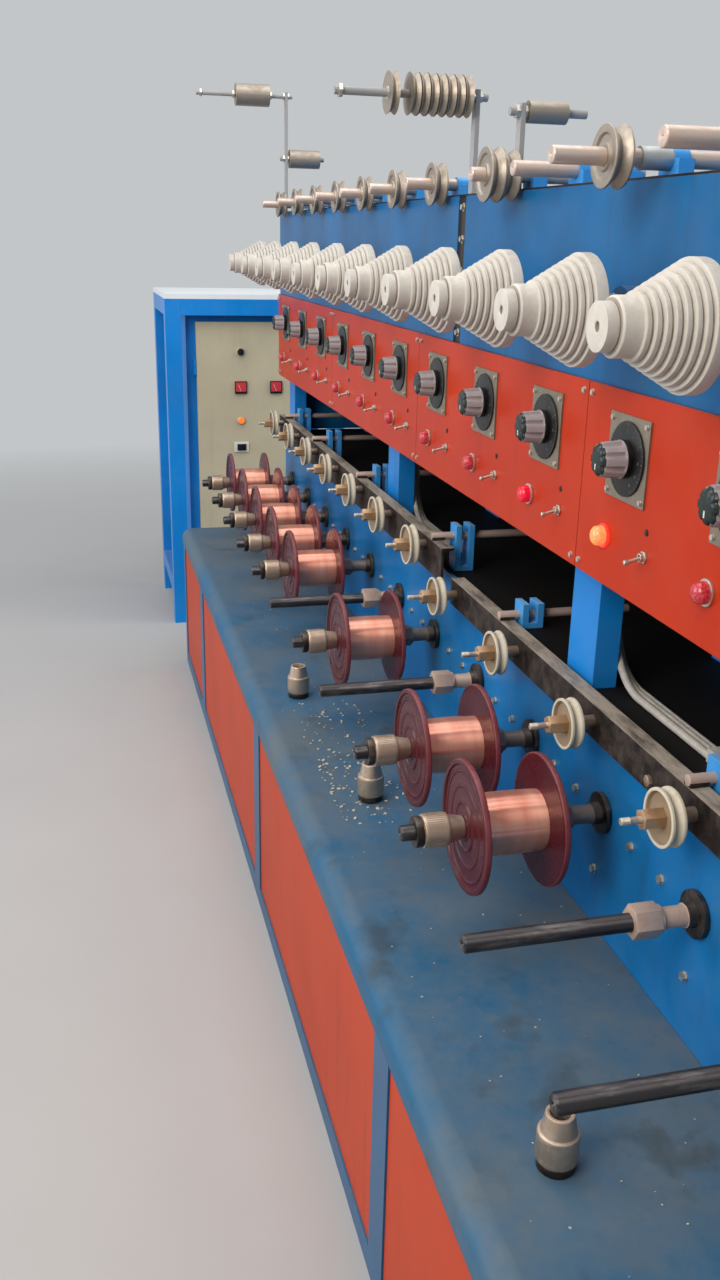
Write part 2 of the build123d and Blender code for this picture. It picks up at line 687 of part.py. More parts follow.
def build_panels():
    """Orange fascia panels, and the blue upper panels with their cone bearings."""
    fascias = [folded_panel(start, end, FASCIA_DEPTH, FASCIA_BOTTOM, FASCIA_TOP, FASCIA_SHEET)
               for start, end in fascia_spans()]
    save("fascia_panels", *fascias)
    low = FASCIA_TOP + SEAT_GAP
    strip_start = UPPER_SEAM_HEAD * HEAD_PITCH + UPPER_SEAM_SHIFT
    strip_end = strip_start + UPPER_SEAM_STRIP
    shaft_bore = CONE_SHAFT_DIAMETER + 2 * RUNNING_CLEARANCE
    uppers = []
    for start, end in ((0.0, strip_start), (strip_end, MACHINE_LENGTH)):
        panel = folded_panel(start, end, UPPER_PANEL_DEPTH, low, UPPER_PANEL_TOP, UPPER_PANEL_SHEET)
        for head in heads():
            if start < head_place(head) < end:
                panel -= rod_along_y(shaft_bore, head_place(head), CONE_HEIGHT,
                                     UPPER_PANEL_DEPTH - CUT_OVERRUN, UPRIGHT_FACE)
        uppers.append(panel)
    uppers.append(block(strip_start + WELD_GAP, strip_end - WELD_GAP,
                        UPPER_PANEL_DEPTH + UPPER_PANEL_SHEET, UPRIGHT_FACE, low, UPPER_PANEL_TOP))
    bearings = [ring_along_y(CONE_BEARING_DIAMETER, shaft_bore, head_place(head), CONE_HEIGHT,
                             UPPER_PANEL_DEPTH - CONE_BEARING_LENGTH, UPPER_PANEL_DEPTH - WELD_GAP)
                for head in heads()]
    save("upper_panels", *uppers, *bearings)


def star_knob(place, height, front, back):
    """Fluted knob along Y, its flutes stopping short of the disc behind it."""
    knob = rod_along_y(KNOB_DIAMETER, place, height, front, back)
    reach = KNOB_DIAMETER / 2 + KNOB_FLUTE_RADIUS - KNOB_FLUTE_DEPTH
    for flute in range(KNOB_FLUTES):
        angle = 2 * math.pi * flute / KNOB_FLUTES
        knob -= rod_along_y(2 * KNOB_FLUTE_RADIUS, place + reach * math.cos(angle),
                            height + reach * math.sin(angle),
                            front - CUT_OVERRUN, back - KNOB_FLUTE_DEPTH)
    return knob


def indicator_lamp(place):
    """Lamp with its bezel and bevelled lens on the fascia."""
    bezel_front = FASCIA_DEPTH - LAMP_BEZEL_LENGTH
    front = bezel_front - LAMP_LENGTH
    bezel = LAMP_BEZEL_DIAMETER / 2
    lens = LAMP_DIAMETER / 2
    return turned([
        (0, front),
        (lens - LAMP_BEVEL, front),
        (lens, front + LAMP_BEVEL),
        (lens, bezel_front),
        (bezel, bezel_front),
        (bezel, FASCIA_DEPTH),
        (0, FASCIA_DEPTH),
    ], place, LAMP_HEIGHT)


def build_controls():
    """Dial plates, knobs on their discs, lamps and toggle switches, one set a head."""
    plates = []
    dials = []
    lamps = []
    toggles = []
    plate_front = FASCIA_DEPTH - DIAL_PLATE_THICKNESS
    disc_front = plate_front - DIAL_DISC_THICKNESS
    nut_front = FASCIA_DEPTH - TOGGLE_NUT_LENGTH
    half = DIAL_PLATE_SIZE / 2
    for head in heads():
        place = head_place(head) - CONTROL_SHIFT
        toggle = place - TOGGLE_OFFSET
        plates.append(block(place - half, place + half, plate_front, FASCIA_DEPTH,
                            DIAL_HEIGHT - half, DIAL_HEIGHT + half))
        disc = rod_along_y(DIAL_DISC_DIAMETER, place, DIAL_HEIGHT, disc_front, plate_front)
        dials.append(disc + star_knob(place, DIAL_HEIGHT, disc_front - KNOB_LENGTH, disc_front))
        lamps.append(indicator_lamp(place + LAMP_OFFSET))
        nut = rod_along_y(TOGGLE_NUT_DIAMETER, toggle, LAMP_HEIGHT, nut_front, FASCIA_DEPTH)
        lever = rod_along_y(TOGGLE_LEVER_DIAMETER, toggle, LAMP_HEIGHT,
                            nut_front - TOGGLE_LEVER_LENGTH, nut_front)
        toggles.append(nut + lever)
    save("dial_plates", *plates)
    save("dials", *dials)
    save("indicator_lamps", *lamps)
    save("toggle_switches", *toggles)


def guide_rod(place, bar_front, top):
    """Guide rod on its saddle, welded on the bar's top flange."""
    axis = top + ROD_DIAMETER / 2
    half = ROD_SADDLE_WIDTH / 2
    rod = rod_along_y(ROD_DIAMETER, place, axis, bar_front, BLOCK_BACK + TRAVERSE_STROKE + ROD_TAIL)
    return rod + block(place - half, place + half, bar_front, bar_front + BAR_FLANGE,
                       top + WELD_GAP, axis)


def pulley_stud(place, axis, wheel_depth, reach, bar_front):
    """Bolt that carries a guide pulley, with its nut against the bar."""
    bolt = PULLEY_BOLT_DIAMETER / 2
    nut = PULLEY_NUT_DIAMETER / 2
    nut_front = wheel_depth + PULLEY_WIDTH / 2 + SEAT_GAP
    nut_back = bar_front - WELD_GAP
    return turned([
        (0, wheel_depth - reach),
        (bolt, wheel_depth - reach),
        (bolt, nut_front),
        (nut, nut_front),
        (nut, nut_back),
        (0, nut_back),
    ], place, axis)


def guide_pulley(diameter, place, axis, depth):
    """Grooved guide pulley with a dished face and a hexagon hub, free on its bolt."""
    bore = PULLEY_BOLT_DIAMETER / 2 + RUNNING_CLEARANCE
    front = depth - PULLEY_WIDTH / 2
    back = depth + PULLEY_WIDTH / 2
    rim = diameter / 2
    hub = PULLEY_HUB_ACROSS_FLATS / 2
    wheel = turned([
        (bore, front),
        (hub, front),
        (hub, front + PULLEY_DISH),
        (rim - PULLEY_RIM, front + PULLEY_DISH),
        (rim - PULLEY_RIM, front),
        (rim, front),
        (rim, front + PULLEY_RIM_LAND),
        (rim - PULLEY_GROOVE, depth),
        (rim, back - PULLEY_RIM_LAND),
        (rim, back),
        (bore, back),
    ], place, axis)
    wheel += hex_along_y(PULLEY_HUB_ACROSS_FLATS, place, axis, depth - PULLEY_HUB_REACH, depth)
    return wheel - rod_along_y(2 * bore, place, axis, depth - PULLEY_HUB_REACH - CUT_OVERRUN,
                               back + CUT_OVERRUN)


def build_traverse(name, span, front, top, leg, rod_heads, pulley_heads, diameter, axis, wheel_depth,
                   reach):
    """Angle-iron bar with guide rods and pulley bolts, and the pulleys on the bolts."""
    start, end = span
    bar = block(start, end, front, front + BAR_THICKNESS, top - leg, top)
    bar += block(start, end, front, front + BAR_FLANGE, top - BAR_THICKNESS, top)
    rods = [guide_rod(rod_head * HEAD_PITCH, front, top) for rod_head in rod_heads]
    places = [pulley_head * HEAD_PITCH for pulley_head in pulley_heads]
    studs = [pulley_stud(place, axis, wheel_depth, reach, front) for place in places]
    save(f"{name}_traverse_bar", bar, *rods, *studs)
    save(f"{name}_guide_pulleys", *[guide_pulley(diameter, place, axis, wheel_depth) for place in places])


def build_traverses():
    """The two traverse bars, which meet at a break between two heads."""
    near_span = (0.0, BAR_BREAK_MIDDLE - BAR_BREAK / 2)
    far_span = (BAR_BREAK_MIDDLE + BAR_BREAK / 2, MACHINE_LENGTH - BAR_END_MARGIN)
    near_front = BENCH_DEPTH - NEAR_BAR_FORWARD
    far_front = BENCH_DEPTH - FAR_BAR_FORWARD
    build_traverse("near", near_span, near_front, NEAR_BAR_TOP, NEAR_BAR_LEG, NEAR_ROD_HEADS,
                   NEAR_PULLEY_HEADS, NEAR_PULLEY_DIAMETER, NEAR_BAR_TOP - NEAR_PULLEY_DROP,
                   near_front - NEAR_PULLEY_STANDOFF, NEAR_BOLT_REACH)
    build_traverse("far", far_span, far_front, FAR_BAR_TOP, FAR_BAR_LEG, FAR_ROD_HEADS,
                   FAR_PULLEY_HEADS, FAR_PULLEY_DIAMETER, FAR_BAR_TOP - FAR_PULLEY_DROP,
                   far_front - FAR_PULLEY_STANDOFF, FAR_BOLT_REACH)


def rod_block(place, top):
    """Two-eared bearing block for one guide rod."""
    axis = top + ROD_DIAMETER / 2
    half = BLOCK_WIDTH / 2
    piece = block(place - half, place + half, UPRIGHT_FACE, BLOCK_BACK, LEDGE_HEIGHT,
                  LEDGE_HEIGHT + BLOCK_BASE_HEIGHT)
    for front in (UPRIGHT_FACE, UPRIGHT_FACE + EAR_SPACING):
        piece += block(place - half, place + half, front, front + EAR_THICKNESS,
                       LEDGE_HEIGHT, axis + EAR_ABOVE_ROD)
    return piece - rod_along_y(ROD_DIAMETER + 2 * RUNNING_CLEARANCE, place, axis,
                               UPRIGHT_FACE - CUT_OVERRUN, BLOCK_BACK + CUT_OVERRUN)


def pillow_block(place, front):
    """Pillow block for a sheave axle, standing on the top cover."""
    half = PILLOW_WIDTH / 2
    back = front + PILLOW_THICKNESS
    pillow = block(place - half, place + half, front, back, COVER_TOP, AXLE_HEIGHT)
    pillow += rod_along_y(2 * PILLOW_ABOVE_AXLE, place, AXLE_HEIGHT, front, back)
    return pillow - rod_along_y(AXLE_DIAMETER + 2 * RUNNING_CLEARANCE, place, AXLE_HEIGHT,
                                front - CUT_OVERRUN, back + CUT_OVERRUN)


def build_bearing_blocks():
    """Bearing blocks for the guide rods, and the pillow blocks of the sheave axles."""
    blocks = [rod_block(rod_head * HEAD_PITCH, NEAR_BAR_TOP) for rod_head in NEAR_ROD_HEADS]
    blocks += [rod_block(rod_head * HEAD_PITCH, FAR_BAR_TOP) for rod_head in FAR_ROD_HEADS]
    for axle_head in AXLE_HEADS:
        for front in (PILLOW_FRONT, PILLOW_FRONT + PILLOW_SPACING):
            blocks.append(pillow_block(axle_head * HEAD_PITCH, front))
    save("bearing_blocks", *blocks)


def grooved_wheel(outer, width, groove, bore, place, height, depth):
    """A wheel with one V groove round its rim, centred on a depth."""
    half = width / 2
    rim = outer / 2
    return turned([
        (bore, depth - half),
        (rim, depth - half),
        (rim - groove, depth),
        (rim, depth + half),
        (bore, depth + half),
    ], place, height)


def sheave_axle(place, kind, reach_mark):
    """Axle of a sheave, with the bearing sleeve round it ahead of its pillow block where it has one."""
    reach = AXLE_LONG_REACH if reach_mark == "L" else AXLE_SHORT_REACH
    axle = rod_along_y(AXLE_DIAMETER, place, AXLE_HEIGHT, UPPER_PANEL_DEPTH - reach,
                       UPPER_PANEL_DEPTH + AXLE_TAIL)
    if kind == "C":
        axle += rod_along_y(BEARING_SLEEVE_DIAMETER, place, AXLE_HEIGHT,
                            UPPER_PANEL_DEPTH - BEARING_SLEEVE_REACH, PILLOW_FRONT - WELD_GAP)
    return axle


def build_sheaves():
    """Guide sheaves and their axles along the top edge."""
    bore = AXLE_DIAMETER / 2 + RUNNING_CLEARANCE
    back = (SHEAVE_BACK_DIAMETER, SHEAVE_BACK_STANDOFF)
    wheels = {
        ".": [],
        "F": [(SHEAVE_FRONT_DIAMETER, SHEAVE_FRONT_STANDOFF)],
        "C": [(SLEEVED_SHEAVE_DIAMETER, SHEAVE_FRONT_STANDOFF)],
        "B": [back],
        "D": [(SHEAVE_FRONT_DIAMETER, SHEAVE_BACK_STANDOFF + SHEAVE_WIDTH + SHEAVE_PAIR_GAP), back],
    }
    solids = []
    for axle_head, kind, reach_mark in zip(AXLE_HEADS, SHEAVE_LAYOUT, AXLE_LAYOUT):
        place = axle_head * HEAD_PITCH
        solids.append(sheave_axle(place, kind, reach_mark))
        for diameter, standoff in wheels[kind]:
            solids.append(grooved_wheel(diameter, SHEAVE_WIDTH, SHEAVE_GROOVE, bore, place,
                                        AXLE_HEIGHT, UPPER_PANEL_DEPTH - standoff))
    save("guide_sheaves", *solids)


def roller_post(place, *heights):
    """Flat post on the top cover, bored for its shafts, up to just above the highest."""
    half = ROLLER_POST_WIDTH / 2
    post = block(place - half, place + half, ROLLER_POST_FRONT, ROLLER_POST_BACK,
                 COVER_TOP, max(heights) + POST_HEAD)
    for height in heights:
        post -= rod_along_y(ROLLER_SHAFT_DIAMETER + 2 * WELD_GAP, place, height,
                            ROLLER_POST_FRONT - CUT_OVERRUN, ROLLER_POST_BACK + CUT_OVERRUN)
    return post


def front_shaft(place, height, reach):
    """Shaft that reaches forward from a post."""
    return rod_along_y(ROLLER_SHAFT_DIAMETER, place, height, ROLLER_POST_FRONT - reach,
                       ROLLER_POST_BACK + ROLLER_SHAFT_END)


def rear_shaft(place, height, roller_length, shaft_end):
    """Shaft that reaches back from a post, through a roller and on past its end."""
    back = ROLLER_POST_BACK + REAR_ROLLER_BEHIND_POST + roller_length + shaft_end
    return rod_along_y(ROLLER_SHAFT_DIAMETER, place, height,
                       ROLLER_POST_FRONT - ROLLER_SHAFT_END, back)


def roller(diameter, length, place, height, front):
    """A plain roller on its shaft."""
    bore = ROLLER_SHAFT_DIAMETER + 2 * RUNNING_CLEARANCE
    return ring_along_y(diameter, bore, place, height, front, front + length)


def build_overhead():
    """Posts with their overhung shafts, and the wheels and rollers on them."""
    bank_place = BANK_HEADS * HEAD_PITCH
    far_place = MACHINE_LENGTH - FAR_ROLLER_MARGIN
    small_place = SMALL_ROLLER_HEADS * HEAD_PITCH
    bank_height = COVER_TOP + BANK_RISE
    far_height = COVER_TOP + FAR_ROLLER_RISE
    low_height = COVER_TOP + LOW_ROLLER_RISE
    small_height = COVER_TOP + SMALL_ROLLER_RISE
    save("roller_posts",
         roller_post(bank_place, bank_height),
         front_shaft(bank_place, bank_height, BANK_SHAFT_REACH),
         roller_post(far_place, far_height, low_height),
         front_shaft(far_place, far_height, FAR_ROLLER_SHAFT_REACH),
         rear_shaft(far_place, low_height, LOW_ROLLER_LENGTH, ROLLER_SHAFT_END),
         roller_post(small_place, small_height),
         rear_shaft(small_place, small_height, SMALL_ROLLER_LENGTH, SMALL_SHAFT_END))
    bore = ROLLER_SHAFT_DIAMETER / 2 + RUNNING_CLEARANCE
    reaches = [BANK_FIRST_WHEEL_REACH - index * BANK_WHEEL_SPACING for index in range(BANK_WHEEL_COUNT)]
    wheels = [grooved_wheel(BANK_WHEEL_DIAMETER, BANK_WHEEL_WIDTH, BANK_WHEEL_GROOVE, bore,
                            bank_place, bank_height, ROLLER_POST_FRONT - reach)
              for reach in [SINGLE_WHEEL_REACH, *reaches]]
    rear = ROLLER_POST_BACK + REAR_ROLLER_BEHIND_POST
    save("overhead_rollers", *wheels,
         roller(FAR_ROLLER_DIAMETER, FAR_ROLLER_LENGTH, far_place, far_height,
                ROLLER_POST_FRONT - FAR_ROLLER_REACH),
         roller(LOW_ROLLER_DIAMETER, LOW_ROLLER_LENGTH, far_place, low_height, rear),
         roller(SMALL_ROLLER_DIAMETER, SMALL_ROLLER_LENGTH, small_place, small_height, rear))


def build_stand():
    """Tube stand over the control cabinet, with its white top."""
    start = MACHINE_LENGTH + AISLE
    end = start + STAND_LENGTH
    top = STAND_HEIGHT - STAND_TOP_SHEET
    tube = STAND_TUBE
    rear = MACHINE_DEPTH - tube
    tubes = []
    for first in (start, end - tube):
        for front in (0.0, rear):
            tubes.append(block(first, first + tube, front, front + tube, 0, top))
        tubes.append(block(first, first + tube, tube + WELD_GAP, rear - WELD_GAP, top - tube, top))
    for front in (0.0, rear):
        for high in (top, STAND_LOW_RAIL + tube):
            tubes.append(block(start + tube + WELD_GAP, end - tube - WELD_GAP, front, front + tube,
                               high - tube, high))
    save("stand_frame", *tubes)
    save("stand_top", block(start, end, 0, MACHINE_DEPTH, top, STAND_HEIGHT))


def build_cabinet():
    """Sheet cabinet with a framed opening and hinge knuckles, and its door."""
    door_front = MACHINE_LENGTH + AISLE + CABINET_SETBACK
    face = door_front + DOOR_SHEET + DOOR_EDGE_GAP
    end = door_front + CABINET_LENGTH
    last = CABINET_FIRST + CABINET_WIDTH
    sheet = CABINET_SHEET
    door_last = last - CABINET_FRAME
    door_low = CABINET_PLINTH
    door_high = CABINET_HEIGHT - DOOR_TOP_MARGIN
    body = block(face, end, CABINET_FIRST, last, 0, CABINET_HEIGHT)
    body -= block(face + sheet, end - sheet, CABINET_FIRST + sheet, last - sheet,
                  CABINET_PLINTH, CABINET_HEIGHT - sheet)
    body -= block(face - CUT_OVERRUN, face + sheet + CUT_OVERRUN, DOOR_FIRST + DOOR_OVERLAP,
                  door_last - DOOR_OVERLAP, door_low + DOOR_OVERLAP, door_high - DOOR_OVERLAP)
    radius = HINGE_DIAMETER / 2
    hinge_depth = DOOR_FIRST - radius - HINGE_PLAY
    for low in (door_low + HINGE_FROM_END, door_high - HINGE_FROM_END - HINGE_LENGTH):
        leaf = block(door_front, face, hinge_depth - radius, hinge_depth - radius + HINGE_LEAF,
                     low, low + HINGE_LENGTH)
        knuckle = Pos(along(door_front), deep(hinge_depth), low) * Cylinder(
            radius, HINGE_LENGTH, align=(Align.CENTER, Align.CENTER, Align.MIN))
        body += leaf + knuckle
    save("cabinet_body", body)
    save("cabinet_door", block(door_front, door_front + DOOR_SHEET, DOOR_FIRST, door_last,
                               door_low, door_high))
    build_door_fittings(door_front)


def door_plate(door_front, from_edge, drop, width, tall, stand):
    """A rectangular fitting that stands out from the door."""
    depth = DOOR_FIRST + from_edge
    height = CABINET_HEIGHT - drop
    return block(door_front - stand, door_front, depth - width / 2, depth + width / 2,
                 height - tall / 2, height + tall / 2)


def door_button(door_front, from_edge, drop, diameter, stand):
    """A round fitting that stands out from the door."""
    centre = Pos(along(door_front), deep(DOOR_FIRST + from_edge), CABINET_HEIGHT - drop)
    return centre * Rot(0, 90, 0) * Cylinder(diameter / 2, stand,
                                            align=(Align.CENTER, Align.CENTER, Align.MIN))


def build_door_fittings(door_front):
    """Selector, two meters, lamp and switch on the cabinet door."""
    edge = FITTING_FROM_EDGE
    save("door_fittings",
         door_button(door_front, edge, SELECTOR_DROP, SELECTOR_DIAMETER, SELECTOR_STAND),
         door_plate(door_front, edge, METER_DROP, METER_SIZE, METER_SIZE, METER_STAND),
         door_plate(door_front, SECOND_METER_FROM_EDGE, METER_DROP, METER_SIZE, METER_SIZE, METER_STAND),
         door_button(door_front, edge, DOOR_LAMP_DROP, DOOR_LAMP_DIAMETER, DOOR_LAMP_STAND),
         door_plate(door_front, edge, SWITCH_DROP, SWITCH_WIDTH, SWITCH_TALL, SWITCH_STAND))


def build_loose_nuts():
    """Clamp nuts left standing on the bench beside the bare spindles."""
    nuts = [Pos(along(nut_head * HEAD_PITCH), deep(depth), BENCH_HEIGHT) * clamp_nut()
            for nut_head, depth in LOOSE_NUTS]
    save("loose_clamp_nuts", *nuts)


def main():
    """Build every node and write it to the parts folder."""
    os.makedirs("parts", exist_ok=True)
    build_bench()
    build_housing()
    for head in heads():
        build_spindle(head)
        build_cone(head)
        if is_loaded(head):
            build_bobbin(head)
    build_uprights()
    build_cables()
    build_panels()
    build_controls()
    build_traverses()
    build_bearing_blocks()
    build_sheaves()
    build_overhead()
    build_stand()
    build_cabinet()
    build_loose_nuts()


main()
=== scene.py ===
import logging
import math
import random
from dataclasses import dataclass
from enum import Enum
from typing import Sequence, Union

import bmesh
import bpy
from mathutils import Euler, Matrix, Vector

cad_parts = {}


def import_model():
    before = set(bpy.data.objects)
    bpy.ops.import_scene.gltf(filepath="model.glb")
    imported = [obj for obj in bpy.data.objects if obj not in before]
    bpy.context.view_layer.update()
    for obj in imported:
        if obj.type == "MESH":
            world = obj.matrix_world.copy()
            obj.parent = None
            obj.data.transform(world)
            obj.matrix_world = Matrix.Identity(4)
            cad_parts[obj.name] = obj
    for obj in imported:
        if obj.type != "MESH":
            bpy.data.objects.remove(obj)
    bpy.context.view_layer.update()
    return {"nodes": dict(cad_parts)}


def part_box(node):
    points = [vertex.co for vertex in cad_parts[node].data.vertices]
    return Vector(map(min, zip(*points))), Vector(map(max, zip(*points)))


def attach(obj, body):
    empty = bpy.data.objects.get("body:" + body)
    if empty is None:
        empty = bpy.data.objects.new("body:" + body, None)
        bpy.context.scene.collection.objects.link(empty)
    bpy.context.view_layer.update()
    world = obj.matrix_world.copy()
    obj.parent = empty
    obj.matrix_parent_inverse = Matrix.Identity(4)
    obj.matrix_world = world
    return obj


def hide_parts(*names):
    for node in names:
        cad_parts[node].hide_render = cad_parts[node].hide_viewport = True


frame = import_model()

LOG = logging.getLogger("take_up_machine")

MM = 0.001
HEAD_PITCH = 280.0
HEAD_COUNT = 12
HEADS = range(1, HEAD_COUNT + 1)
LOADED_HEADS = (3, 4, 6, 8, 9, 10, 11, 12)
NEAR_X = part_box("bench_body")[1][0]
FRONT_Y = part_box("bench_top")[0][1]

EVEN = (1.0, 1.0, 1.0)
FLAT_ALIKE = 0.995
EDGE_ALIKE = 0.86
WELD_DISTANCE = 1e-6
CORNER_SHARE = 0.45
CHIP_SHAPE = (1.0, 0.7, 0.35)
CHIP_TURN = (0.3, 0.3, 6.28)
WASHER_SIDES = 24
STRIP_BROWN = "#2B231E"
GRIME_BLACK = "#2C2E32"
OIL_GREY = "#3A3C38"

Point = tuple[float, float, float]
Socket = bpy.types.NodeSocket
Feed = Union[Socket, bpy.types.Material, float, str, tuple]


def head_place(head: int) -> float:
    """Place of a head's middle from the near end, in mm."""
    return (head - 0.5) * HEAD_PITCH


def world(place: float, depth: float, height: float) -> Vector:
    """Turn a place along the machine, a depth and a height into the frame's metres.

    Args:
        place: Distance from the near end, in mm.
        depth: Distance behind the bench's front, in mm.
        height: Height above the floor, in mm.

    Returns:
        The point in metres.
    """
    return Vector((NEAR_X - place * MM, FRONT_Y + depth * MM, height * MM))


def linear(code: str, alpha: float = 1.0) -> tuple[float, float, float, float]:
    """Turn an sRGB hex value into a linear colour.

    Args:
        code: The colour, such as "#1F6FA8".
        alpha: The fourth value.

    Returns:
        Linear red, green, blue and alpha.
    """
    channels = []
    for start in (1, 3, 5):
        value = int(code[start:start + 2], 16) / 255
        channels.append(value / 12.92 if value <= 0.04045 else ((value + 0.055) / 1.055) ** 2.4)
    return (channels[0], channels[1], channels[2], alpha)


def add_node(tree: bpy.types.NodeTree, kind: str, feeds: dict | None = None,
             **settings: Feed) -> bpy.types.Node:
    """Add one node with its settings, values and links.

    Args:
        tree: The tree that gets the node.
        kind: The node's type.
        feeds: Input name or index to a value, or to the output socket that drives it.
        settings: Properties of the node.

    Returns:
        The new node.
    """
    node = tree.nodes.new(kind)
    for name, value in settings.items():
        setattr(node, name, value)
    for key, value in (feeds or {}).items():
        if isinstance(value, Socket):
            tree.links.new(value, node.inputs[key])
        else:
            node.inputs[key].default_value = value
    return node


class Patterns:
    """The patterns that the finishes share, all read from Object coordinates in metres."""

    def __init__(self, name: str) -> None:
        """Start an empty material.

        Args:
            name: The material's name.
        """
        self.material = bpy.data.materials.new(name)
        self.material.use_nodes = True
        self.tree = self.material.node_tree
        self.tree.nodes.clear()
        self.output = add_node(self.tree, "ShaderNodeOutputMaterial")
        self.place = add_node(self.tree, "ShaderNodeTexCoord").outputs["Object"]

    def cloud(self, size_mm: float, detail: float = 4.0, rough: float = 0.6, stretch: Point = EVEN,
              shift: float = 0.0) -> Socket:
        """Cloudy unevenness.

        Args:
            size_mm: Rough size of its blobs.
            detail: Levels of finer blobs.
            rough: How strong the finer levels are.
            stretch: How far the blobs are drawn out along each axis.
            shift: Offset that keeps one cloud apart from another.

        Returns:
            Values round 0.5.
        """
        scale = tuple(1.0 / factor for factor in stretch)
        mapped = add_node(self.tree, "ShaderNodeMapping",
                          {"Vector": self.place, "Scale": scale, "Location": (shift, shift, shift)})
        return add_node(self.tree, "ShaderNodeTexNoise",
                        {"Vector": mapped.outputs[0], "Scale": 1.0 / (size_mm * MM), "Detail": detail,
                         "Roughness": rough}).outputs[0]

    def patches(self, size_mm: float, low: float, high: float, amount: float = 1.0,
                **cloud: float | Point) -> Socket:
        """Patches where a cloud is thick.

        Args:
            size_mm: Rough size of the patches.
            low: Level of the cloud at which they begin.
            high: Level at which they are full.
            amount: Their strength where they are full.
            cloud: More sizes of the cloud.

        Returns:
            0 beside the patches, and the amount inside.
        """
        return add_node(self.tree, "ShaderNodeMapRange",
                        {0: self.cloud(size_mm, **cloud), 1: low, 2: high, 4: amount},
                        clamp=True).outputs[0]

    def facing(self, axis: int, low: float, high: float) -> Socket:
        """How far a face looks along an axis.

        Args:
            axis: 0, 1 or 2 for X, Y or Z.
            low: Part of the normal that counts as 0.
            high: Part of the normal that counts as 1.

        Returns:
            0 to 1.
        """
        normal = add_node(self.tree, "ShaderNodeNewGeometry").outputs["Normal"]
        along = add_node(self.tree, "ShaderNodeSeparateXYZ", {0: normal}).outputs[axis]
        return add_node(self.tree, "ShaderNodeMapRange", {0: along, 1: low, 2: high},
                        clamp=True).outputs[0]

    def settled(self, dust: Socket, low: float = 0.4, high: float = 0.95) -> Socket:
        """Keep patches of dust only where a face looks up; on the housing and the bearing blocks they are
        painted shade and painted highlight.

        Args:
            dust: The patches.
            low: Upward part of the normal at which dust begins to stay.
            high: Upward part at which all of it stays.

        Returns:
            The dust that stays.
        """
        return add_node(self.tree, "ShaderNodeMath", {0: self.facing(2, low, high), 1: dust},
                        operation="MULTIPLY").outputs[0]

    def worn_edges(self, radius_mm: float, patches: Socket) -> tuple[Socket, Socket]:
        """Ease the edges, and wear them in patches.

        Args:
            radius_mm: Radius that the edges are shaded with.
            patches: Where the finish has gone.

        Returns:
            The eased normal, and the worn part of the edges.
        """
        eased = add_node(self.tree, "ShaderNodeBevel", {"Radius": radius_mm * MM}, samples=4).outputs[0]
        normal = add_node(self.tree, "ShaderNodeNewGeometry").outputs["True Normal"]
        alike = add_node(self.tree, "ShaderNodeVectorMath", {0: eased, 1: normal},
                         operation="DOT_PRODUCT").outputs["Value"]
        near = add_node(self.tree, "ShaderNodeMapRange", {0: alike, 1: FLAT_ALIKE, 2: EDGE_ALIKE},
                        clamp=True).outputs[0]
        worn = add_node(self.tree, "ShaderNodeMath", {0: near, 1: patches}, operation="MULTIPLY")
        return eased, worn.outputs[0]

    def strip(self, low: float, high: float) -> Socket:
        """A sharp-edged strip across the machine.

        Args:
            low: Where it starts in the frame's X.
            high: Where it ends.

        Returns:
            1 within the strip.
        """
        along = add_node(self.tree, "ShaderNodeSeparateXYZ", {0: self.place}).outputs[0]
        sides = [add_node(self.tree, "ShaderNodeMapRange", {0: along, 1: edge, 2: full},
                          clamp=True).outputs[0] for edge, full in ((low, low + MM), (high, high - MM))]
        return add_node(self.tree, "ShaderNodeMath", dict(enumerate(sides)),
                        operation="MULTIPLY").outputs[0]

    def any_of(self, *masks: Socket) -> Socket:
        """Where any of some masks shows.

        Args:
            masks: The masks.

        Returns:
            Their sum, no more than 1.
        """
        where = masks[0]
        for mask in masks[1:]:
            where = add_node(self.tree, "ShaderNodeMath", {0: where, 1: mask}, operation="ADD",
                             use_clamp=True).outputs[0]
        return where

    def between(self, clean: float, dull: float, *masks: Socket) -> Socket:
        """A number that changes where masks show.

        Args:
            clean: Its value beside them.
            dull: Its value within them.
            masks: The masks.

        Returns:
            The number.
        """
        return add_node(self.tree, "ShaderNodeMix", {0: self.any_of(*masks), 2: clean, 3: dull}).outputs[0]

    def layered(self, base: str, *layers: tuple[Socket, str]) -> Socket:
        """Lay colours over one another.

        Args:
            base: Hex value of the lowest colour.
            layers: Where each layer shows and its hex value, from below.

        Returns:
            The colour that is seen.
        """
        colour = linear(base)
        for where, layer in layers:
            colour = add_node(self.tree, "ShaderNodeMix", {0: where, 6: colour, 7: linear(layer)},
                              data_type="RGBA").outputs[2]
        return colour

    def finish(self, height: Socket, depth_mm: float, strength: float, eased: Socket | None = None,
               drawn: float = 0.0, **feeds: Feed) -> bpy.types.Material:
        """Close the material with its relief and its shader.

        Args:
            height: Pattern of the relief.
            depth_mm: Depth of the relief.
            strength: How much of the relief shows.
            eased: Normal that the relief lies on.
            drawn: How far highlights are drawn out along the heads' axles.
            feeds: Values and links of the shader's sockets, spaces written as underscores.

        Returns:
            The material.
        """
        relief = {"Height": height, "Distance": depth_mm * MM, "Strength": strength}
        if eased is not None:
            relief["Normal"] = eased
        named = {name.replace("_", " "): value for name, value in feeds.items()}
        named["Normal"] = add_node(self.tree, "ShaderNodeBump", relief).outputs[0]
        if drawn:
            axle = add_node(self.tree, "ShaderNodeCombineXYZ", {"Y": 1.0}).outputs[0]
            named |= {"Anisotropic": drawn, "Tangent": axle}
        shader = add_node(self.tree, "ShaderNodeBsdfPrincipled", named)
        self.tree.links.new(shader.outputs[0], self.output.inputs[0])
        return self.material


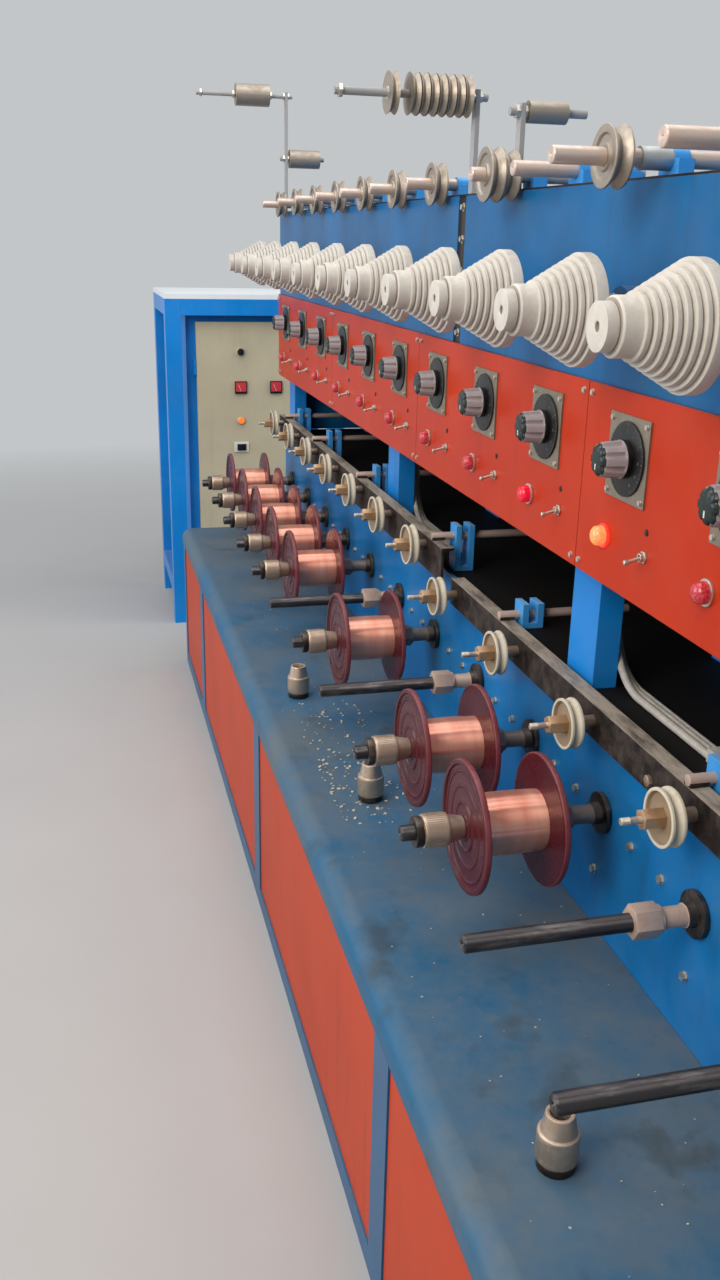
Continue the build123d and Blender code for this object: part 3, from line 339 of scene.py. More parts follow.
@dataclass(frozen=True)
class Enamel:
    """Gloss enamel sprayed on sheet steel: an even colour with soft highlights, dulled by workshop
    dust on what looks up, with runs of grime down the walls and bare metal along the edges. The
    inside colour is painted shade; on the housing the near-black dust is painted shade, and on the
    bearing blocks the pale dust is painted highlight."""

    name: str
    colour: str
    shade: str
    dust: str = "#7E7C78"
    dusty: float = 0.5
    film: float = 0.10
    grime: float = 0.30
    bare: str = "#5E5650"
    wear: float = 0.7
    gloss: float = 0.30
    edge_mm: float = 1.6
    inside: str = ""
    shine: float = 0.2
    strip: tuple[float, float] = (0.0, 0.0)
    oil: float = 0.0

    def material(self) -> bpy.types.Material:
        """Build the finish.

        Returns:
            The material.
        """
        p = Patterns(self.name)
        film = p.patches(90.0, 0.42, 0.72, self.film, detail=8.0, rough=0.7, shift=2.0)
        settled = p.settled(p.patches(60.0, 0.26, 0.70, self.dusty, detail=9.0, rough=0.7))
        eased, worn = p.worn_edges(self.edge_mm, p.patches(14.0, 0.44, 0.62, self.wear, detail=7.0,
                                                           rough=0.7, shift=8.0))
        chips = p.patches(9.0, 0.76, 0.78, self.wear, detail=5.0, shift=11.0)
        layers = [(p.patches(420.0, 0.38, 0.68), self.shade)]
        # On the covers this inside colour is painted shade on faces that look to the front.
        if self.inside:
            layers.append((p.facing(1, -0.3, -0.7), self.inside))
        if any(self.strip):
            layers.append((p.strip(*self.strip), STRIP_BROWN))
        runs = p.patches(34.0, 0.56, 0.80, self.grime, detail=6.0, stretch=(1.0, 1.0, 14.0))
        oil = p.patches(150.0, 0.58, 0.70, self.oil, detail=5.0, shift=5.0)
        layers += [(runs, GRIME_BLACK), (film, self.dust), (settled, self.dust), (oil, OIL_GREY),
                   (p.any_of(worn, chips), self.bare)]
        return p.finish(p.cloud(4.0, 2.0, 0.5), 0.03, 0.2, eased,
                        Base_Color=p.layered(self.colour, *layers),
                        Roughness=p.between(self.gloss, 0.68, settled, film),
                        IOR=1.45, Specular_IOR_Level=self.shine)


@dataclass(frozen=True)
class Steel:
    """Turned or rolled steel: fine rings from the tool round the axle, dark oil film or brown rust
    in patches, and brighter streaks along the axle where hands and wire have rubbed it; on the
    black spindles these streaks are also a painted highlight line."""

    name: str
    colour: str
    rust: str = "#5B3A2A"
    rusty: float = 0.25
    rub: str = "#A8A49C"
    rubbed: float = 0.3
    roughness: float = 0.34
    ring_mm: float = 1.2
    dust: str = "#8A8278"
    dusty: float = 0.3
    metal: float = 1.0
    drawn: float = 0.0

    def material(self) -> bpy.types.Material:
        """Build the finish.

        Returns:
            The material.
        """
        p = Patterns(self.name)
        rings = p.cloud(self.ring_mm, 3.0, 0.6, (40.0, 1.0, 40.0))
        # Pale streaks along the axle: rubbed metal, and on the black spindles also a painted highlight line.
        rubbed = p.patches(14.0, 0.50, 0.74, self.rubbed, detail=5.0, stretch=(1.0, 5.0, 1.0))
        rust = p.patches(22.0, 0.46, 0.64, self.rusty, detail=8.0, rough=0.7, shift=3.0)
        settled = p.settled(p.patches(20.0, 0.35, 0.65, self.dusty, detail=7.0, rough=0.7))
        tooled = add_node(p.tree, "ShaderNodeMapRange", {0: rings, 1: 0.3, 2: 0.8, 4: 0.15}, clamp=True)
        return p.finish(rings, 0.05, 0.4, drawn=self.drawn,
                        Base_Color=p.layered(self.colour, (rubbed, self.rub), (rust, self.rust),
                                             (settled, self.dust)),
                        Metallic=p.between(self.metal, 0.1, rust, settled),
                        Roughness=p.any_of(p.between(self.roughness, 0.8, rust, settled),
                                           tooled.outputs[0]))


@dataclass(frozen=True)
class RustyIron:
    """Hot-rolled angle iron left bare: dark scale with brown rust bloom, its edges rubbed grey and
    its top paler where it looks up."""

    name: str
    scale_colour: str
    bloom: str
    top: str

    def material(self) -> bpy.types.Material:
        """Build the finish.

        Returns:
            The material.
        """
        p = Patterns(self.name)
        bloom = p.patches(30.0, 0.40, 0.66, detail=9.0, rough=0.7)
        runs = p.patches(12.0, 0.50, 0.72, 0.6, detail=6.0, stretch=(1.0, 1.0, 8.0))
        eased, rubbed = p.worn_edges(1.5, p.patches(16.0, 0.40, 0.60, 0.9))
        settled = p.settled(p.patches(24.0, 0.28, 0.56, 0.95, detail=8.0, rough=0.7,
                                      stretch=(4.0, 1.0, 1.0)))
        return p.finish(p.cloud(3.0, 6.0, 0.7), 0.35, 0.7, eased,
                        Base_Color=p.layered(self.scale_colour, (bloom, self.bloom), (runs, "#1E1815"),
                                             (rubbed, "#8D847A"), (settled, self.top)),
                        Metallic=p.between(0.6, 0.05, bloom, settled),
                        Roughness=p.between(0.55, 0.85, bloom))


@dataclass(frozen=True)
class Plastic:
    """Moulded plastic: a smooth skin with a faint grain, lighter where dust and handling have
    dulled it."""

    name: str
    colour: str
    dust: str
    dusty: float = 0.3
    roughness: float = 0.36
    grain_mm: float = 1.4
    shine: float = 0.4

    def material(self) -> bpy.types.Material:
        """Build the finish.

        Returns:
            The material.
        """
        p = Patterns(self.name)
        film = p.patches(28.0, 0.40, 0.72, self.dusty, detail=8.0, rough=0.7)
        settled = p.settled(p.patches(10.0, 0.35, 0.65, self.dusty, detail=6.0, rough=0.7), 0.2, 0.9)
        dull = p.any_of(film, settled)
        return p.finish(p.cloud(self.grain_mm, 3.0, 0.5), 0.03, 0.3,
                        Base_Color=p.layered(self.colour, (dull, self.dust)),
                        Roughness=p.between(self.roughness, 0.75, dull),
                        IOR=1.46, Specular_IOR_Level=self.shine)


@dataclass(frozen=True)
class WoundCopper:
    """Bright annealed copper wire in close turns: a row of fine bright lines round the barrel, with
    painted shade in the grooves between them and a rosy sheen that shifts from layer to layer. The
    turns are drawn at 1.6 mm so that they show."""

    name: str
    wire_mm: float = 1.6

    def material(self) -> bpy.types.Material:
        """Build the finish.

        Returns:
            The material.
        """
        p = Patterns(self.name)
        turns = add_node(p.tree, "ShaderNodeTexWave",
                         {"Vector": p.place, "Scale": 2 * math.pi / 20 / (self.wire_mm * MM),
                          "Distortion": 0.6, "Detail": 1.0, "Detail Scale": 0.4},
                         bands_direction="Y").outputs["Fac"]
        # Painted shade: the copper is darkened between the turns, in the grooves between the wires.
        gaps = add_node(p.tree, "ShaderNodeMapRange", {0: turns, 1: 0.45, 2: 0.0, 4: 0.22}, clamp=True)
        layers = p.patches(16.0, 0.30, 0.70, detail=3.0, rough=0.5, stretch=(6.0, 1.0, 6.0))
        return p.finish(turns, 0.05, 0.25, drawn=0.95,
                        Base_Color=p.layered("#F6A68E", (layers, "#FFC2AA"), (gaps.outputs[0], "#C0745E")),
                        Metallic=0.75, Roughness=p.between(0.31, 0.36, layers))


@dataclass(frozen=True)
class Ceramic:
    """Sprayed ceramic on a cast cone: a matt off-white with a fine tooth, warm stains, and grey
    dust on what looks up. Its darker copy on the groove faces is painted shade."""

    name: str
    colour: str
    stain: str
    stained: float

    def material(self) -> bpy.types.Material:
        """Build the finish.

        Returns:
            The material.
        """
        p = Patterns(self.name)
        stains = p.patches(30.0, 0.42, 0.70, self.stained, detail=7.0, rough=0.65)
        settled = p.settled(p.patches(12.0, 0.40, 0.62, 0.4, detail=6.0, rough=0.7), 0.3, 0.95)
        return p.finish(p.cloud(1.2, 4.0, 0.6), 0.06, 0.6,
                        Base_Color=p.layered(self.colour, (stains, self.stain), (settled, "#8F857A")),
                        Roughness=0.62, IOR=1.55)


@dataclass(frozen=True)
class LampLens:
    """Moulded lens of a small indicator lamp: clear coloured plastic over a ribbed core, which
    shines from inside when it is lit. The unlit lenses have a faint painted glow, and the bezel
    round the lit amber lamp a strong red painted glow for its halo."""

    name: str
    colour: str
    core: str
    glow: float

    def material(self) -> bpy.types.Material:
        """Build the finish.

        Returns:
            The material.
        """
        p = Patterns(self.name)
        ribs = p.patches(3.0, 0.35, 0.65, detail=2.0, rough=0.5)
        colour = p.layered(self.colour, (ribs, self.core))
        return p.finish(ribs, 0.05, 0.2, Base_Color=colour, Roughness=0.22, IOR=1.49, Coat_Weight=0.15,
                        Emission_Color=colour, Emission_Strength=self.glow)


class Finishes:
    """Every finish of the machine, built once."""

    def __init__(self) -> None:
        """Build all the materials."""
        self.body_blue = Enamel("enamel_body_blue", "#1282D4", "#0F74BE", wear=0.5).material()
        self.panel_blue = Enamel("enamel_spindle_panel_blue", "#1270AE", "#0E5E96").material()
        self.frame_blue = Enamel("enamel_bench_frame_worn_blue", "#245880", "#2A4E6C", dusty=0.3,
                                 shine=0.1).material()
        self.upper_blue = Enamel("enamel_upper_panel_blue", "#0A6098", "#0A4E7A", film=0.08, grime=0.42,
                                 gloss=0.34, strip=(0.7235, 0.7645)).material()
        # Painted shade: the covers' faces that look to the front, inside the machine, are painted near-black.
        self.cover_blue = Enamel("enamel_cover_blue_painted_shade_inside", "#1672AE", "#12649C", film=0.05,
                                 inside="#14171A").material()
        self.bench_blue = Enamel("enamel_bench_top_dusty_blue", "#1A587C", "#566064", dust="#666A6A",
                                 dusty=0.55, grime=0.4, gloss=0.42, shine=0.15, oil=0.55).material()
        # Painted shade: the near-black 'dust' on the housing's upward faces, and its darker film on the
        # walls, stands for the shade on the ledge behind the traverse bars.
        self.ledge_blue = Enamel("enamel_housing_blue_painted_shade_ledge", "#12629C", "#0F568A", dust="#0E0C0B",
                                 dusty=12.0).material()
        # Painted highlight: the pale blue 'dust' on the blocks' upward faces stands for the shine on their
        # tops.
        self.block_blue = Enamel("enamel_block_blue_painted_highlight_top", "#3A94D8", "#2E84C8", dust="#9CC0DC",
                                 dusty=0.8, bare="#A9C0D4", wear=0.6).material()
        self.panel_orange = Enamel("enamel_bench_panel_orange", "#B43E1E", "#A8381A", dust="#96705C",
                                   film=0.06, gloss=0.40, shine=0.08).material()
        self.fascia_orange = Enamel("enamel_fascia_orange", "#B83412", "#AC2C0E", film=0.05, grime=0.20,
                                    wear=0.4, gloss=0.34, shine=0.15).material()
        self.cabinet_beige = Enamel("powder_coat_cabinet_beige", "#BEB69C", "#B2AA90", grime=0.16, wear=0.3,
                                    gloss=0.45).material()
        self.laminate = Enamel("laminate_stand_top_white", "#DDE3E6", "#D2DADE", dust="#C4C2BC", dusty=0.3,
                               grime=0.08, wear=0.2).material()
        self.post_grey = Enamel("enamel_roller_post_grey", "#A2A2A2", "#929292").material()
        # Painted highlight: the pale streaks along the black spindles stand for their highlight line as well
        # as for rubbed metal.
        self.black_steel = Steel("blacked_turned_steel", "#4C4A4C", rusty=0.08, rub="#A8A4A2", rubbed=0.45,
                                 dust="#5E5C5A", dusty=0.10, roughness=0.40, drawn=0.95).material()
        self.disc_steel = Steel("oiled_turned_steel_disc", "#4A4644", rusty=0.25).material()
        self.nut_steel = Steel("turned_steel_nut", "#BCA894", rusty=0.15, rub="#DCD2C4", rubbed=0.5,
                               roughness=0.32, metal=0.9).material()
        self.nut_ring = Steel("blacked_steel_nut_ring", "#3E3936", rusty=0.2).material()
        self.collar_steel = Steel("pale_worn_steel_collar", "#B8A090", rust="#8A6A58", rusty=0.3,
                                  rub="#D8C4B6", dusty=0.1, roughness=0.4, metal=0.4).material()
        # Painted shade: a darker copy of the collar for heads whose bobbin's back flange shades it; its rust
        # patches are real.
        self.stained_collar = Steel("steel_collar_painted_shade_behind_bobbin", "#7E706A", rust="#54453E", rusty=0.35,
                                    dusty=0.1, roughness=0.4, metal=0.4).material()
        self.rod_steel = Steel("copper_stained_guide_rod", "#BCA69C", rust="#A08478", rusty=0.4,
                               roughness=0.40, metal=0.4).material()
        self.bolt_steel = Steel("zinc_plated_steel", "#CCC6BA", rust="#8A7458", rusty=0.2, rub="#E6E2D8",
                                roughness=0.32, dusty=0.15).material()
        self.plate_steel = Steel("plated_steel_dial_plate", "#8F8676", rust="#6E5A48", rusty=0.35,
                                 rub="#B8B0A2", roughness=0.42, ring_mm=2.0).material()
        self.hub_brass = Steel("oxidised_brass_hub", "#C4A684", rust="#8E6E50", rusty=0.3,
                               dusty=0.1).material()
        self.roller_steel = Steel("dull_aluminium_roller", "#A0968A", rust="#806C5E", rusty=0.35,
                                  roughness=0.45).material()
        self.axle_steel = Steel("copper_stained_steel_axle", "#C8B6AA", rust="#BC9C8A", rusty=0.35,
                                metal=0.5, drawn=0.6).material()
        self.sleeve_grey = Steel("painted_bearing_sleeve_grey", "#B4B6B6", rust="#8E8A84", rusty=0.3,
                                 roughness=0.5).material()
        self.bar_iron = RustyIron("rolled_angle_iron", "#241F1B", "#40332B", "#A09486").material()
        self.maroon = Plastic("abs_bobbin_maroon", "#481019", "#5E2428", 0.08, 0.26, shine=0.35).material()
        # Painted highlight: the rims are a lighter maroon that stands for the highlight ring round each
        # flange.
        self.maroon_rim = Plastic("abs_bobbin_rim_painted_highlight", "#6A2C34", "#8E5A58", 0.3, 0.36).material()
        self.nylon = Plastic("nylon_pulley_cream", "#C6C0AE", "#A0967F", 0.45, 0.45).material()
        # Painted shade and dirt: the dished face is brown for brown dirt and for the shade in the dish.
        self.pulley_face = Plastic("pulley_face_dirt_and_painted_shade", "#88755E", "#A08D74", 0.4, 0.5).material()
        self.black_plastic = Plastic("phenolic_dial_black", "#121213", "#3E3A36", 0.18, 0.30).material()
        self.knob_grey = Plastic("phenolic_knob_grey", "#8E8688", "#A8A0A0", 0.35, 0.36).material()
        self.knob_end = Plastic("phenolic_knob_dark_end", "#12201C", "#3C4440", 0.3, 0.26).material()
        self.dim_print = Plastic("worn_dial_print", "#6A675F", "#3A3834", 0.6, 0.5).material()
        self.white_print = Plastic("screen_print_white", "#D8D6CE", "#A8A49A", 0.3, 0.5).material()
        self.cable_grey = Plastic("pvc_cable_sheath_grey", "#B4B0A8", "#8C867C", 0.5, 0.5).material()
        self.copper = WoundCopper("annealed_copper_winding").material()
        self.ceramic = Ceramic("sprayed_ceramic_land", "#C4BFB5", "#A89E92", 0.45).material()
        # Painted shade: a darker ceramic for the faces inside each step's groove and the tip's recess.
        self.ceramic_groove = Ceramic("sprayed_ceramic_groove_painted_shade", "#989086", "#70685E", 0.6).material()
        # Painted glow: the unlit lenses glow faintly.
        self.lamp_dark = LampLens("acrylic_lens_red_unlit_painted_glow", "#9A1C26", "#C04048", 0.15).material()
        self.lamp_red = LampLens("acrylic_lens_red_lit", "#CC0A28", "#D81434", 0.35).material()
        self.lamp_amber = LampLens("acrylic_lens_amber_lit", "#FF7C40", "#FF965C", 0.65).material()
        # Painted glow: the bezel round the lit amber lamp glows strongly red as its halo.
        self.lamp_ring = LampLens("acrylic_bezel_red_painted_halo", "#F01C18", "#F83424", 1.6).material()
        self.lamp_orange = LampLens("acrylic_lens_orange_lit", "#E8641E", "#F4883A", 0.5).material()
        self.meter_face = Plastic("meter_card_red", "#C2343E", "#A04A4C", 0.2, 0.4).material()
        self.flake = Plastic("ceramic_and_copper_debris", "#C4B898", "#94846C", 0.6, 0.7).material()


class Axis(Enum):
    """The direction of a turned piece's axle."""

    DEPTH = "front to back"
    UP = "up"
    ALONG = "along the machine"


def rounded(profile: Sequence[tuple], radius: float, steps: int = 3) -> list[tuple]:
    """Round the corners of a closed outline of (radius, station, finish) points.

    Args:
        profile: The outline's points.
        radius: How far from a corner its curve starts, in mm.
        steps: Points on each curve.

    Returns:
        The outline with curves in place of its corners.
    """
    points = []
    for index, corner in enumerate(profile):
        before, here, after = (Vector(point[:2]) for point in
                               (profile[index - 1], corner, profile[(index + 1) % len(profile)]))
        finish = corner[2] if len(corner) > 2 else 0
        if here.x <= 0 or min((before - here).length, (after - here).length) < WELD_DISTANCE:
            points.append((here.x, here.y, finish))
            continue
        start, end = (here + (side - here).normalized() * min(radius, (side - here).length * CORNER_SHARE)
                      for side in (before, after))
        for step in range(steps + 1):
            share = step / steps
            curve = start * (1 - share) ** 2 + here * 2 * share * (1 - share) + end * share ** 2
            points.append((max(curve.x, 0.0), curve.y, finish))
    return points


class Shape:
    """Collects the faces of one piece, in machine millimetres."""

    def __init__(self, *finishes: bpy.types.Material) -> None:
        """Start an empty piece.

        Args:
            finishes: Its materials, which faces name by number.
        """
        self.mesh = bmesh.new()
        self.finishes = finishes

    def face(self, vertices: Sequence[bmesh.types.BMVert], finish: int) -> None:
        """Add a face unless it is already there or has collapsed.

        Args:
            vertices: Its corners.
            finish: Number of its material.
        """
        unique = list(dict.fromkeys(vertices))
        if len(unique) > 2 and not self.mesh.faces.get(unique):
            self.mesh.faces.new(unique).material_index = finish

    def skin(self, rings: Sequence[Sequence[bmesh.types.BMVert]], finishes: Sequence[int]) -> None:
        """Join rings of points with faces, each ring to the next.

        Args:
            rings: Full circles of points, or single points on the axle.
            finishes: Number of the material between each ring and the next.
        """
        for ring, following, finish in zip(rings, rings[1:], finishes):
            segments = max(len(ring), len(following))
            for index in range(segments if segments > 1 else 0):
                nxt = (index + 1) % segments
                self.face((ring[index % len(ring)], ring[nxt % len(ring)],
                           following[nxt % len(following)], following[index % len(following)]), finish)

    def turned(self, profile: Sequence[tuple], centre: Point, axis: Axis = Axis.DEPTH,
               segments: int = 64, turn: float = 0.0) -> None:
        """Turn a closed outline round an axle.

        Args:
            profile: (radius, station) or (radius, station, finish) points, stations from the centre.
            centre: Place, depth and height of the axle's zero.
            axis: The axle's direction.
            segments: Faces round the axle.
            turn: Angle of the first line, in radians.
        """
        rings = []
        for radius, station, *_ in profile:
            ring = []
            for index in range(1 if radius <= WELD_DISTANCE else segments):
                angle = turn + 2 * math.pi * index / segments
                side, rise = radius * math.cos(angle), radius * math.sin(angle)
                offset = {Axis.DEPTH: (side, station, rise), Axis.UP: (side, rise, station),
                          Axis.ALONG: (station, side, rise)}[axis]
                point = world(*(zero + shift for zero, shift in zip(centre, offset)))
                ring.append(self.mesh.verts.new(point))
            rings.append(ring)
        self.skin(rings + rings[:1], [point[2] if len(point) > 2 else 0 for point in profile])

    def bar(self, diameter: float, front: float, back: float, centre: Point, axis: Axis = Axis.DEPTH,
            finish: int = 0, segments: int = 40, edge: float = 0.8) -> None:
        """A solid bar with eased ends; with six segments, a hexagon.

        Args:
            diameter: Across the bar, or across a hexagon's corners.
            front: Station where it starts.
            back: Station where it ends.
            centre: Place, depth and height of the axle's zero.
            axis: The axle's direction.
            finish: Number of its material.
            segments: Faces round the axle.
            edge: How far its ends are eased.
        """
        radius = diameter / 2
        outline = [(0, front, finish), (radius, front, finish), (radius, back, finish), (0, back, finish)]
        self.turned(rounded(outline, edge, 2), centre, axis, segments)

    def ring(self, outer: float, inner: float, front: float, back: float, centre: Point,
             finish: int = 0, segments: int = 48, edge: float = 0.6) -> None:
        """A ring with eased edges, its axle front to back.

        Args:
            outer: Its diameter.
            inner: Diameter of its hole.
            front: Station where it starts.
            back: Station where it ends.
            centre: Place, depth and height of the axle's zero.
            finish: Number of its material.
            segments: Faces round the axle.
            edge: How far its edges are eased.
        """
        outline = [(inner / 2, front, finish), (outer / 2, front, finish), (outer / 2, back, finish),
                   (inner / 2, back, finish)]
        self.turned(rounded(outline, edge, 2), centre, segments=segments)

    def block(self, start: float, end: float, front: float, back: float, low: float, high: float,
              finish: int = 0, edge: float = 1.0) -> None:
        """A block with rounded edges.

        Args:
            start: Place of its near end.
            end: Place of its far end.
            front: Depth of its front.
            back: Depth of its back.
            low: Height of its underside.
            high: Height of its top.
            finish: Number of its material.
            edge: Radius of its edges.
        """
        middle = world((start + end) / 2, (front + back) / 2, (low + high) / 2)
        size = Matrix.Diagonal(((end - start) * MM, (back - front) * MM, (high - low) * MM, 1.0))
        corners = bmesh.ops.create_cube(self.mesh, size=1.0,
                                        matrix=Matrix.Translation(middle) @ size)["verts"]
        for face in {face for corner in corners for face in corner.link_faces}:
            face.material_index = finish
        bmesh.ops.bevel(self.mesh, geom=list({line for corner in corners for line in corner.link_edges}),
                        offset=edge * MM, segments=2, profile=0.7, affect="EDGES", material=-1)

    def tube(self, points: Sequence[Point], diameter: float, finish: int = 0, segments: int = 10) -> None:
        """A round strand along points, closed at its ends.

        Args:
            points: Its path, in machine millimetres.
            diameter: Its thickness.
            finish: Number of its material.
            segments: Faces round it.
        """
        path = [world(*point) for point in points]
        rings = []
        across = None
        for index, here in enumerate(path):
            ahead = (path[min(index + 1, len(path) - 1)] - path[max(index - 1, 0)]).normalized()
            across = ahead.orthogonal() if across is None else across
            across = (across - ahead * across.dot(ahead)).normalized()
            other = ahead.cross(across)
            angles = (2 * math.pi * step / segments for step in range(segments))
            rings.append([self.mesh.verts.new(here + (across * math.cos(angle) + other * math.sin(angle))
                                              * diameter * MM / 2) for angle in angles])
        self.skin(rings, [finish] * len(rings))
        for end in (rings[0], rings[-1]):
            self.face(end, finish)

    def paste(self, mesh: bpy.types.Mesh, finish: int = 0, matrix: Matrix = Matrix.Identity(4)) -> None:
        """Copy a mesh in.

        Args:
            mesh: The mesh.
            finish: Number of its material here.
            matrix: How it is moved, in metres.
        """
        points, faces = len(self.mesh.verts), len(self.mesh.faces)
        self.mesh.from_mesh(mesh)
        self.mesh.verts.ensure_lookup_table()
        self.mesh.faces.ensure_lookup_table()
        bmesh.ops.transform(self.mesh, matrix=matrix, verts=self.mesh.verts[points:])
        for face in self.mesh.faces[faces:]:
            face.material_index = finish

    def piece(self, name: str, body: str, slot: str, replaces: Sequence[str] = (),
              crease: float = 32.0) -> None:
        """Close the piece, put it in the scene on its body, and hide the CAD nodes that it stands for.

        Args:
            name: The piece's name.
            body: The body that it rides on.
            slot: The record's material slot; not used.
            replaces: CAD nodes that it stands for.
            crease: Edges bent more than this many degrees stay sharp.
        """
        bmesh.ops.remove_doubles(self.mesh, verts=self.mesh.verts, dist=WELD_DISTANCE)
        bmesh.ops.recalc_face_normals(self.mesh, faces=self.mesh.faces)
        for face in self.mesh.faces:
            face.smooth = True
        for edge in self.mesh.edges:
            edge.smooth = len(edge.link_faces) == 2 and edge.calc_face_angle(0.0) < math.radians(crease)
        mesh = bpy.data.meshes.new(name)
        self.mesh.to_mesh(mesh)
        self.mesh.free()
        for finish in self.finishes:
            mesh.materials.append(finish)
        piece = bpy.data.objects.new(name, mesh)
        bpy.context.scene.collection.objects.link(piece)
        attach(piece, body)
        if replaces:
            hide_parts(*replaces)
        LOG.info("%s on %s: %d triangles", name, body, sum(len(face.vertices) - 2 for face in mesh.polygons))


def evaluated_mesh(carrier: bpy.types.Object) -> bpy.types.Mesh:
    """Turn an object's evaluated shape into a plain mesh, and remove the object.

    Args:
        carrier: An object in the scene, with its modifiers or its text.

    Returns:
        The plain mesh.
    """
    bpy.context.view_layer.update()
    evaluated = carrier.evaluated_get(bpy.context.evaluated_depsgraph_get())
    mesh = bpy.data.meshes.new_from_object(evaluated)
    carrier.modifiers.clear()
    bpy.data.objects.remove(carrier)
    return mesh


class Rule:
    """A Geometry Nodes tree with named inputs, and the way to turn it into plain meshes."""

    sockets: dict[str, str] = {}

    def __init__(self, name: str) -> None:
        """Start the tree with its inputs.

        Args:
            name: The tree's name.
        """
        self.tree = bpy.data.node_groups.new(name, "GeometryNodeTree")
        self.identifiers = {}
        for label, kind in {**self.sockets, "Finish": "NodeSocketMaterial"}.items():
            socket = self.tree.interface.new_socket(label, in_out="INPUT", socket_type=kind)
            self.identifiers[label] = socket.identifier
        self.tree.interface.new_socket("Geometry", in_out="OUTPUT", socket_type="NodeSocketGeometry")
        self.values = add_node(self.tree, "NodeGroupInput").outputs
        self.close(self.build())

    def build(self) -> Socket:
        """Make the geometry; each rule has its own."""
        raise NotImplementedError

    def close(self, geometry: Socket) -> None:
        """End the tree in Realize Instances and Set Material.

        Args:
            geometry: What the rule has made.
        """
        real = add_node(self.tree, "GeometryNodeRealizeInstances", {0: geometry}).outputs[0]
        dressed = add_node(self.tree, "GeometryNodeSetMaterial",
                           {"Geometry": real, "Material": self.values["Finish"]}).outputs[0]
        add_node(self.tree, "NodeGroupOutput", {0: dressed})

    def mesh(self, **values: Feed) -> bpy.types.Mesh:
        """Run the rule once.

        Args:
            values: The inputs, with spaces written as underscores.

        Returns:
            The plain mesh.
        """
        carrier = bpy.data.objects.new("rule_carrier", bpy.data.meshes.new("rule_carrier"))
        bpy.context.scene.collection.objects.link(carrier)
        modifier = carrier.modifiers.new("rule", "NODES")
        modifier.node_group = self.tree
        for label, value in values.items():
            modifier[self.identifiers[label.replace("_", " ")]] = value
        return evaluated_mesh(carrier)


class BoltRow(Rule):
    """A row of hexagon bolt heads on round washers, facing any way."""

    sockets = {"Count": "NodeSocketInt", "Start": "NodeSocketVector", "Step": "NodeSocketVector",
               "Facing": "NodeSocketVector", "Across Corners": "NodeSocketFloat",
               "Head Height": "NodeSocketFloat", "Washer Diameter": "NodeSocketFloat",
               "Washer Thickness": "NodeSocketFloat", "Sides": "NodeSocketInt"}

    def build(self) -> Socket:
        """Put a head on a washer at every point of a line.

        Returns:
            The bolts.
        """
        tree, value = self.tree, self.values
        line = add_node(tree, "GeometryNodeMeshLine",
                        {"Count": value["Count"], "Start Location": value["Start"], "Offset": value["Step"]},
                        mode="OFFSET").outputs[0]
        half = {label: add_node(tree, "ShaderNodeMath", {0: value[label], 1: 0.5},
                                operation="MULTIPLY").outputs[0]
                for label in ("Across Corners", "Head Height", "Washer Diameter", "Washer Thickness")}
        lift = add_node(tree, "ShaderNodeMath", {0: half["Head Height"], 1: value["Washer Thickness"]},
                        operation="ADD").outputs[0]
        bolt = add_node(tree, "GeometryNodeJoinGeometry")
        for sides, width, thickness, middle in (
                (value["Sides"], "Across Corners", "Head Height", lift),
                (WASHER_SIDES, "Washer Diameter", "Washer Thickness", half["Washer Thickness"])):
            disc = add_node(tree, "GeometryNodeMeshCylinder",
                            {"Vertices": sides, "Radius": half[width], "Depth": value[thickness]}).outputs[0]
            place = add_node(tree, "ShaderNodeCombineXYZ", {2: middle}).outputs[0]
            raised = add_node(tree, "GeometryNodeTransform", {"Geometry": disc, "Translation": place})
            tree.links.new(raised.outputs[0], bolt.inputs[0])
        return add_node(tree, "GeometryNodeInstanceOnPoints",
                        {"Points": line, "Instance": bolt.outputs[0], "Rotation": value["Facing"]}).outputs[0]


class RibRing(Rule):
    """Small ribs spread round a ring that faces the front: a knurl, or the ticks of a scale."""

    sockets = {"Count": "NodeSocketInt", "Radius": "NodeSocketFloat", "From": "NodeSocketFloat",
               "Sweep": "NodeSocketFloat", "Rib Size": "NodeSocketVector", "Centre": "NodeSocketVector"}

    def build(self) -> Socket:
        """Put ribs on points round a circle, each turned to its own angle.

        Returns:
            The ribs.
        """
        tree, value = self.tree, self.values
        index = add_node(tree, "GeometryNodeInputIndex").outputs[0]
        share = add_node(tree, "ShaderNodeMath", {0: index, 1: value["Count"]}, operation="DIVIDE").outputs[0]
        angle = add_node(tree, "ShaderNodeMath", {0: share, 1: value["Sweep"], 2: value["From"]},
                         operation="MULTIPLY_ADD").outputs[0]
        side = add_node(tree, "ShaderNodeMath", {0: angle}, operation="COSINE").outputs[0]
        rise = add_node(tree, "ShaderNodeMath", {0: angle}, operation="SINE").outputs[0]
        spoke = add_node(tree, "ShaderNodeCombineXYZ", {0: side, 2: rise}).outputs[0]
        reach = add_node(tree, "ShaderNodeVectorMath", {0: spoke, "Scale": value["Radius"]},
                         operation="SCALE").outputs[0]
        spot = add_node(tree, "ShaderNodeVectorMath", {0: reach, 1: value["Centre"]},
                        operation="ADD").outputs[0]
        line = add_node(tree, "GeometryNodeMeshLine", {"Count": value["Count"]}, mode="OFFSET").outputs[0]
        ring = add_node(tree, "GeometryNodeSetPosition", {"Geometry": line, "Position": spot}).outputs[0]
        rib = add_node(tree, "GeometryNodeMeshCube", {"Size": value["Rib Size"]}).outputs[0]
        against = add_node(tree, "ShaderNodeMath", {0: angle, 1: -1.0}, operation="MULTIPLY").outputs[0]
        turn = add_node(tree, "ShaderNodeCombineXYZ", {1: against}).outputs[0]
        return add_node(tree, "GeometryNodeInstanceOnPoints",
                        {"Points": ring, "Instance": rib, "Rotation": turn}).outputs[0]


